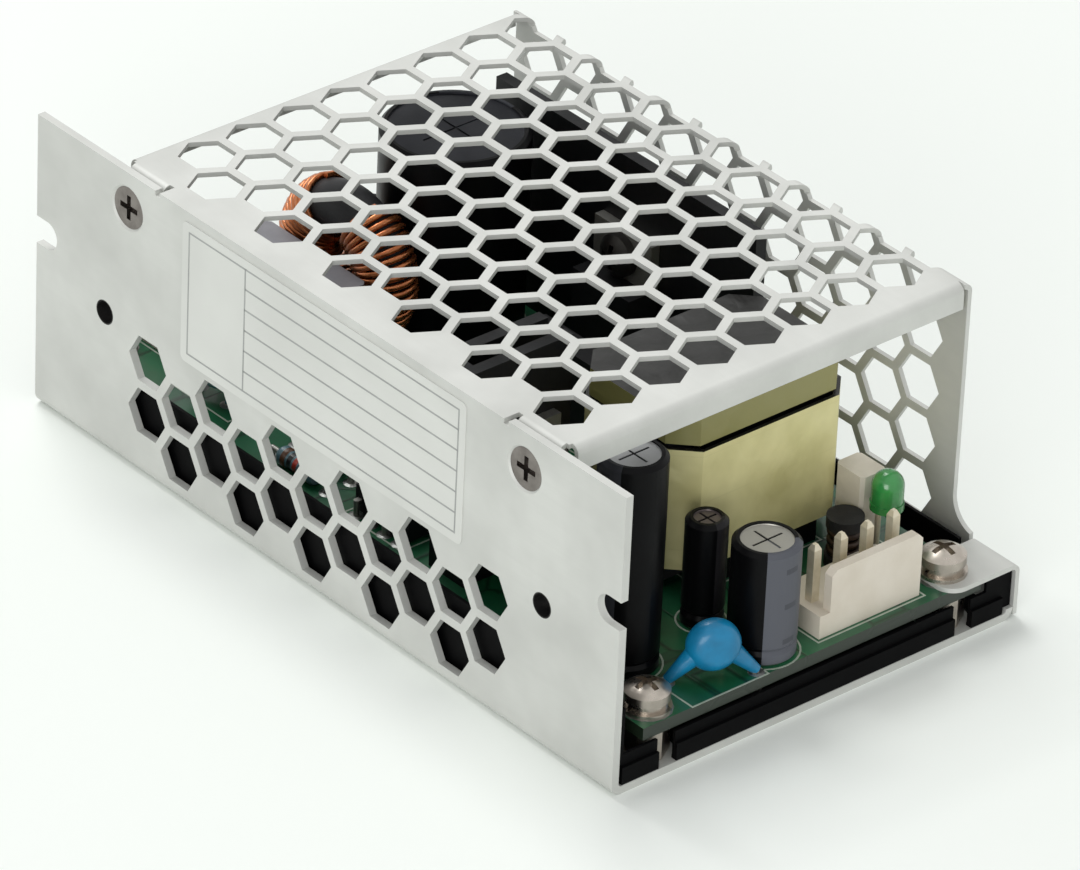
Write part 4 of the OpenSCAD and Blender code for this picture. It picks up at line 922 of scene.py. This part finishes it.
    def build_print(self) -> None:
        """Add the white outlines around the components."""
        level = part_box("circuit_board")[1].z
        rise = Vector((0, 0, self.print_t * MM))
        bm = bmesh.new()
        for name in self.ROUND:
            low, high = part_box(name)
            middle = (low + high) / 2
            r = (high.x - low.x) / 2 + (self.print_gap + self.print_w) * MM
            rings = [[Vector((middle.x + q * math.cos(a), middle.y + q * math.sin(a), level))
                      for a in full_turn(self.round_steps)] for q in (r, r - self.print_w * MM)]
            flat_ring(bm, rings[0], rings[1], rise)
        for name in self.SQUARE:
            low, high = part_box(name)
            frames = [[Vector((x, y, level)) for x, y in (
                (low.x - g, low.y - g), (high.x + g, low.y - g),
                (high.x + g, high.y + g), (low.x - g, high.y + g))]
                for g in ((self.print_gap + self.print_w) * MM, self.print_gap * MM)]
            flat_ring(bm, frames[0], frames[1], rise)
        add_piece("board_print", mesh_from(bm, "board_print", self.PRINT.build()), "ivory_nylon")

    def build(self) -> None:
        """Dress the board, its film and its fixings, and add solder and print."""
        self.MASK.dress("circuit_board")
        # Painted shade: the film's black upturned lip and side flaps are partly real film and partly dark
        # sheets for the shade between the board, the floor and the walls
        self.FILM.dress("insulation_film")
        self.NICKEL.dress("board_standoffs", "board_screws")
        self.build_joints()
        self.build_print()


@dataclass
class Connectors:
    """Headers and indicator at the ends of the board."""

    # Moulded nylon: warm ivory with a satin skin
    NYLON = Finish("ivory_moulded_nylon", "#DCD4C7", "#D1C8B9", 0.48, patch_mm=5.0, grain_mm=0.3,
                   grain_depth_mm=0.012)
    # Tin plate on brass: pale metal with a warm tinge
    PINS = Finish("tinned_brass_pin", "#E4DCC8", "#D2C8B0", 0.4, metallic=0.5, patch_mm=1.2,
                  grain_mm=0.3, grain_depth_mm=0.006)
    # Diffused epoxy: milky green that lets some light in
    LENS = Finish("green_diffused_epoxy", "#3FA352", "#2E8A42", 0.22, transmission=0.25, coat=0.4,
                  patch_mm=2.0, grain_mm=0.6, grain_depth_mm=0.01)

    def build(self) -> None:
        """Dress the headers and the indicator."""
        self.NYLON.dress("output_header_housing", "input_header_housing")
        self.PINS.dress("output_header_pins", "input_header_pins", "indicator_leads")
        self.LENS.dress("indicator_lens")


@dataclass
class Capacitors:
    """Electrolytic cans, coated discs and boxed film capacitors."""

    lead_top: float = 6.85

    # Shrink sleeve on a can: smooth black film, pulled tight, with a narrow sheen
    SLEEVE = CanSleeve("sleeved_can", "#08080A", "#050506", 0.36, ior=1.2, patch_mm=4.0, grain_mm=0.5,
                       grain_depth_mm=0.006)
    CANS = {
        "striped_output_capacitor": replace(
            SLEEVE, stripe="#5A5C63", stripe_angle=6.0, stripe_half_angle=47.0, cap_top="#A9A79F"),
        # The small can's bare top is painted a darker brown-grey than aluminium: painted shade
        "small_output_capacitor": replace(SLEEVE, stripe="#242325", stripe_angle=20.0, cap_top="#625A58"),
        "tall_output_capacitor": replace(SLEEVE, stripe="#34353A", stripe_angle=-95.0, cap_top="#A8A9AA"),
        "rear_output_capacitor": replace(SLEEVE, stripe_angle=60.0),
        "supply_capacitor": replace(SLEEVE, stripe_angle=140.0),
        # The bulk can's bare top and stripe are painted near black: painted shade for the dark deep under the
        # cover
        "bulk_capacitor": replace(SLEEVE, stripe="#3C3E43", stripe_angle=120.0, cap_top="#2A2B30"),
    }
    # Epoxy dips: glossy coloured skins, slightly lumpy from the bath
    BLUE = Finish("blue_epoxy_dip", "#1281B0", "#0D6A93", 0.36, ior=1.4, coat=0.2, patch_mm=3.0, grain_mm=1.4,
                  grain_depth_mm=0.05)
    TEAL = Finish("teal_epoxy_dip", "#1A6E74", "#12575D", 0.32, coat=0.4, patch_mm=3.0, grain_mm=1.4,
                  grain_depth_mm=0.05)
    # Moulded polyester cases: satin, with an even fine grain
    BEIGE = Finish("beige_moulded_case", "#DCD5C7", "#CDC6B8", 0.5, patch_mm=3.0, grain_mm=0.35,
                   grain_depth_mm=0.01)
    CASE = Finish("grey_moulded_case", "#8C8C92", "#7E7E84", 0.45, patch_mm=4.0, grain_mm=0.35,
                  grain_depth_mm=0.01)

    def build(self) -> None:
        """Dress every capacitor."""
        leads = (BareMetal(Axis.Z, low_mm=self.lead_top),)
        for node, sleeve in self.CANS.items():
            low, high = box_mm(node)
            middle = middle_mm(node)
            replace(sleeve, name="sleeved_can_" + node, bare=leads, x_mm=middle.x, y_mm=middle.y,
                    radius_mm=(high.x - low.x) / 2, top_mm=high.z).dress(node)
        for look, node in ((self.BLUE, "safety_disc_capacitor"), (self.TEAL, "surge_varistor"),
                           (self.BEIGE, "film_capacitor"), (self.CASE, "line_filter_capacitor")):
            replace(look, bare=leads).dress(node)


@dataclass
class Magnetics:
    """Transformer and chokes; the line choke gets a continuous winding."""

    turns: int = 21
    wire_steps: int = 20
    wire_sides: int = 8
    wire_d: float = 0.8
    wire_gap: float = 0.02
    layer: float = 0.75
    ring_d: float = 14.0
    section_d: float = 6.0
    sweep: float = 128.0

    # Sintered ferrite: dull dark grey with a fine gritty face
    FERRITE = Finish("sintered_ferrite", "#2C2C2E", "#222224", 0.55, ior=1.3, patch_mm=3.0, grain_mm=0.25,
                     grain_depth_mm=0.02)
    # Moulded phenolic: near black with a faint sheen
    BOBBIN = Finish("black_phenolic", "#0E0E0F", "#0A0A0B", 0.45, ior=1.2, patch_mm=3.0, grain_mm=0.4,
                    grain_depth_mm=0.01)
    # Polyester tape: thin yellowish skin, creased, its turns showing as level lines; higher up and on faces
    # that face up it carries painted shade
    TAPE = WoundTape("khaki_polyester_tape", "#E8E1A8", "#CCC58A", 0.4, coat=0.15, patch_mm=7.0,
                     grain_mm=0.5, grain_depth_mm=0.012)
    # Enamelled copper: warm orange metal under a clear glossy coat
    COPPER = Finish("enamelled_copper_wire", "#C87A48", "#A95F34", 0.28, metallic=0.85, coat=0.5,
                    patch_mm=2.0, grain_mm=0.5, grain_depth_mm=0.006)
    # Varnished wire: copper darkened to brown by its varnish
    DARK_WIRE = Finish("varnished_copper_wire", "#3B2A21", "#2A1D17", 0.4, metallic=0.4, patch_mm=2.0,
                       grain_mm=0.5, grain_depth_mm=0.01)

    def winding(self, material: Material) -> Mesh:
        """Wind both halves of the line choke.

        Args:
            material: the wire's finish.

        Returns:
            Mesh of the two coils, one each side of the ring.
        """
        centre = (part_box("line_choke_core")[0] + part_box("line_choke_core")[1]) / 2
        shape = NodeShape("line_choke_wire", {
            "Ring radius": self.ring_d / 2 * MM, "Wire radius": self.wire_d / 2 * MM,
            "Turn radius": ((self.section_d + self.wire_d) / 2 + self.wire_gap) * MM,
            "Layer": self.layer * MM, "Turns": float(self.turns), "Sweep": math.radians(self.sweep),
            "Points": self.turns * self.wire_steps, "Sides": self.wire_sides})
        size, tree = shape.inputs, shape.tree
        line = add_node(tree, "GeometryNodeCurvePrimitiveLine")[0]
        line = add_node(tree, "GeometryNodeResampleCurve", {"Curve": line, "Count": size["Points"]})[0]
        known: dict[str, Socket] = {
            label: size[label] for label in ("Ring radius", "Turn radius", "Layer", "Turns", "Sweep")}
        known["share"] = add_node(tree, "GeometryNodeSplineParameter")["Factor"]
        # Each step is a Math node, as on the cans' sleeves. Inside the ring every second turn lies on the
        # one before, so that outside it the turns touch
        for name, operation, *values in (
                ("off_middle", "SUBTRACT", "share", 0.5),
                ("around", "MULTIPLY", "off_middle", "Sweep"),
                ("turns_so_far", "MULTIPLY", "share", "Turns"),
                ("turn", "MULTIPLY", "turns_so_far", 2 * math.pi),
                ("turn_cos", "COSINE", "turn"),
                ("turn_sin", "SINE", "turn"),
                ("quarter", "DIVIDE", "turn", 4.0),
                ("shifted", "ADD", "quarter", math.pi / 4),
                ("over", "SINE", "shifted"),
                ("over_squared", "MULTIPLY", "over", "over"),
                ("inward_twice", "SUBTRACT", 1.0, "turn_cos"),
                ("inward", "DIVIDE", "inward_twice", 2.0),
                ("lifted", "MULTIPLY", "over_squared", "inward"),
                ("lift", "MULTIPLY", "lifted", "Layer"),
                ("reach", "ADD", "Turn radius", "lift"),
                ("beyond", "MULTIPLY", "reach", "turn_cos"),
                ("out", "ADD", "Ring radius", "beyond"),
                ("around_cos", "COSINE", "around"),
                ("around_sin", "SINE", "around"),
                ("X", "MULTIPLY", "out", "around_cos"),
                ("Y", "MULTIPLY", "Turn radius", "turn_sin"),
                ("Z", "MULTIPLY", "out", "around_sin")):
            known[name] = add_node(tree, "ShaderNodeMath", {
                i: known.get(v, v) for i, v in enumerate(values)}, operation=operation)[0]
        path = add_node(tree, "ShaderNodeCombineXYZ", {axis.value: known[axis.value] for axis in Axis})[0]
        coil = add_node(tree, "GeometryNodeSetPosition", {"Geometry": line, "Position": path})[0]
        profile = add_node(tree, "GeometryNodeCurvePrimitiveCircle", {
            "Resolution": size["Sides"], "Radius": size["Wire radius"]})[0]
        wire = add_node(tree, "GeometryNodeCurveToMesh", {
            "Curve": coil, "Profile Curve": profile, "Fill Caps": True})[0]
        halves = [add_node(tree, "GeometryNodeTransform", {
            "Geometry": wire, "Translation": centre, "Rotation": (0.0, angle, 0.0)})[0]
            for angle in (0.0, math.pi)]
        both = add_node(tree, "GeometryNodeJoinGeometry", {0: halves})[0]
        return shape.finish(both, material, [Vector()], "line_choke_wire")

    def build(self) -> None:
        """Dress the magnetics and wind the line choke."""
        self.FERRITE.dress("transformer_core", "line_choke_core", "output_choke_core")
        self.BOBBIN.dress("transformer_bobbin", "line_choke_base")
        self.TAPE.dress("transformer_tape", "transformer_winding")
        copper = self.COPPER.dress("line_choke_winding")
        self.DARK_WIRE.dress("output_choke_winding")
        mesh = self.winding(copper)
        mesh.shade_smooth()
        add_piece("line_choke_wire", mesh, "copper_wire", "line_choke_winding")


@dataclass
class PowerStage:
    """Heatsinks, semiconductors, chips and resistors."""

    lead_top: float = 6.9
    package_low: float = 10.6
    package_high: float = 19.6
    bridge_low: float = 9.0
    chip_low: float = 7.0
    chip_half_w: float = 3.25
    resistor_half_l: float = 3.2

    # Moulded epoxy: matt black packages with bare tinned leads
    EPOXY = Finish("black_epoxy", "#161618", "#101012", 0.5, ior=1.3, patch_mm=3.0, grain_mm=0.25,
                   grain_depth_mm=0.012)
    # Black anodised plate: dark satin metal with fine upright lines
    ANODISED = BrushedPlate("black_anodised_aluminium", "#1C1C1E", "#151517", 0.42, metallic=0.6,
                            patch_mm=5.0, grain_depth_mm=0.01)
    # Black oxide on the heatsinks' screws: dark metal with a soft oily sheen
    OXIDE = Finish("black_oxide_steel", "#4A4846", "#393735", 0.42, metallic=1.0, patch_mm=1.6, grain_mm=0.25,
                   grain_depth_mm=0.008)
    # Lacquer: glossy grey-blue skin with plain colour rings
    LACQUER = BandedLacquer(
        "blue_lacquered_resistor", "#5E7D88", "#4E6B76", 0.38, coat=0.3, patch_mm=2.0,
        rings=((-1.9, "#5A3A24"), (-0.9, "#1B1B1C"), (0.1, "#B23A2C"), (2.1, "#A98A4A")))

    def build(self) -> None:
        """Dress the power stage."""
        self.ANODISED.dress("primary_heatsink", "output_heatsink")
        self.OXIDE.dress("heatsink_screws")
        for name, leads, nodes in (
                ("black_epoxy_package", BareMetal(Axis.Z, self.package_low, self.package_high),
                 ("primary_transistor", "output_rectifier")),
                ("black_epoxy_bridge", BareMetal(Axis.Z, self.bridge_low), ("bridge_rectifier",)),
                ("black_coated_line_part", BareMetal(Axis.Z, self.lead_top),
                 ("line_fuse", "inrush_thermistor"))):
            replace(self.EPOXY, name=name, bare=(leads,)).dress(*nodes)
        for node in ("control_chip", "optocoupler"):
            y = middle_mm(node).y
            replace(self.EPOXY, name="black_epoxy_" + node, bare=(
                BareMetal(Axis.Z, self.chip_low),
                BareMetal(Axis.Y, y - self.chip_half_w, y + self.chip_half_w))).dress(node)
        x = middle_mm("axial_resistors").x
        ends = BareMetal(Axis.X, x - self.resistor_half_l, x + self.resistor_half_l)
        replace(self.LACQUER, x_mm=x, bare=(ends,)).dress("axial_resistors")


@dataclass(frozen=True)
class Softbox:
    """Square lamp that faces the frame's origin; metres and watts."""

    name: str
    place: tuple[float, float, float]
    side: float
    power: float


@dataclass
class Studio:
    """Pale floor, soft light and the camera of the photograph."""

    floor_half: float = 3.0
    surround_colour: str = "#FDFEFD"
    ambient: float = 0.58
    azimuth: float = 48.147
    elevation: float = 31.822
    roll: float = 2.634
    distance_mm: float = 1024.37
    aim_mm: tuple[float, float, float] = (0.0, 0.0, 20.0)
    shift_mm: tuple[float, float] = (-1.7445, 8.5858)
    lens_mm: float = 298.507
    sensor_mm: float = 36.0
    clip_m: float = 0.05

    LAMPS = (Softbox("key_softbox", (-0.6, 0.08, 1.1), 0.55, 6.7),
             Softbox("front_fill", (0.85, -1.15, 0.34), 0.8, 8.8))
    # Studio paper: even, matt and almost white
    PAPER = Finish("pale_studio_paper", "#F8FCF8", "#F8FCF8", 0.9, patch_mm=60.0, grain_mm=2.0,
                   grain_depth_mm=0.01, gloss_spread=0.02)

    def build_camera(self) -> None:
        """Set the camera where the photograph was taken from."""
        az, el, roll = (math.radians(a) for a in (self.azimuth, self.elevation, self.roll))
        back = Vector((math.sin(az) * math.cos(el), -math.cos(az) * math.cos(el), math.sin(el)))
        right = Vector((math.cos(az), math.sin(az), 0.0))
        up = back.cross(right)
        right, up = (right * math.cos(roll) + up * math.sin(roll),
                     up * math.cos(roll) - right * math.sin(roll))
        place = (Vector(self.aim_mm) - right * self.shift_mm[0] - up * self.shift_mm[1]
                 + back * self.distance_mm) * MM
        data = bpy.data.cameras.new("camera")
        data.sensor_fit = "HORIZONTAL"
        data.sensor_width = self.sensor_mm
        data.lens = self.lens_mm
        data.clip_start = self.clip_m
        camera = bpy.data.objects.new("camera", data)
        camera.matrix_world = Matrix.Translation(place) @ Matrix((right, up, back)).transposed().to_4x4()
        bpy.context.scene.collection.objects.link(camera)
        bpy.context.scene.camera = camera

    def build_light(self) -> None:
        """Add the softboxes and an even surround that shows as white."""
        for box in self.LAMPS:
            data = bpy.data.lights.new(box.name, "AREA")
            data.shape = "SQUARE"
            data.size = box.side
            data.energy = box.power
            lamp = bpy.data.objects.new(box.name, data)
            lamp.matrix_world = (Matrix.Translation(box.place)
                                 @ Vector(box.place).to_track_quat("Z", "Y").to_matrix().to_4x4())
            bpy.context.scene.collection.objects.link(lamp)
        world = bpy.data.worlds.new("surround")
        world.use_nodes = True
        tree = world.node_tree
        rays = add_node(tree, "ShaderNodeLightPath")
        seen = add_node(tree, "ShaderNodeMath", {
            0: rays["Is Camera Ray"], 1: rays["Is Glossy Ray"]}, operation="MAXIMUM")[0]
        seen = add_node(tree, "ShaderNodeMath", {
            0: seen, 1: rays["Is Transmission Ray"]}, operation="MAXIMUM")[0]
        strength = add_node(tree, "ShaderNodeMapRange", {
            "Value": seen, "To Min": self.ambient, "To Max": 1.0})[0]
        tree.links.new(strength, tree.nodes["Background"].inputs["Strength"])
        tree.nodes["Background"].inputs["Color"].default_value = linear(self.surround_colour)
        bpy.context.scene.world = world

    def build_floor(self) -> None:
        """Add the floor that the supply stands on."""
        bm = bmesh.new()
        bmesh.ops.create_grid(bm, x_segments=1, y_segments=1, size=self.floor_half)
        floor = bpy.data.objects.new("floor", mesh_from(bm, "floor", self.PAPER.build()))
        bpy.context.scene.collection.objects.link(floor)

    def build(self) -> None:
        """Set the stage and the view transform."""
        self.build_camera()
        self.build_light()
        self.build_floor()
        bpy.context.scene.view_settings.view_transform = "Standard"


def main() -> None:
    """Build the supply's looks and the studio."""
    logging.basicConfig(level=logging.INFO, format="%(name)s %(message)s")
    for part in (SheetCase(), Board(), Connectors(), Capacitors(), Magnetics(), PowerStage(), Studio()):
        part.build()
        LOG.info("%s done", type(part).__name__)


if __name__ == "__main__":
    main()
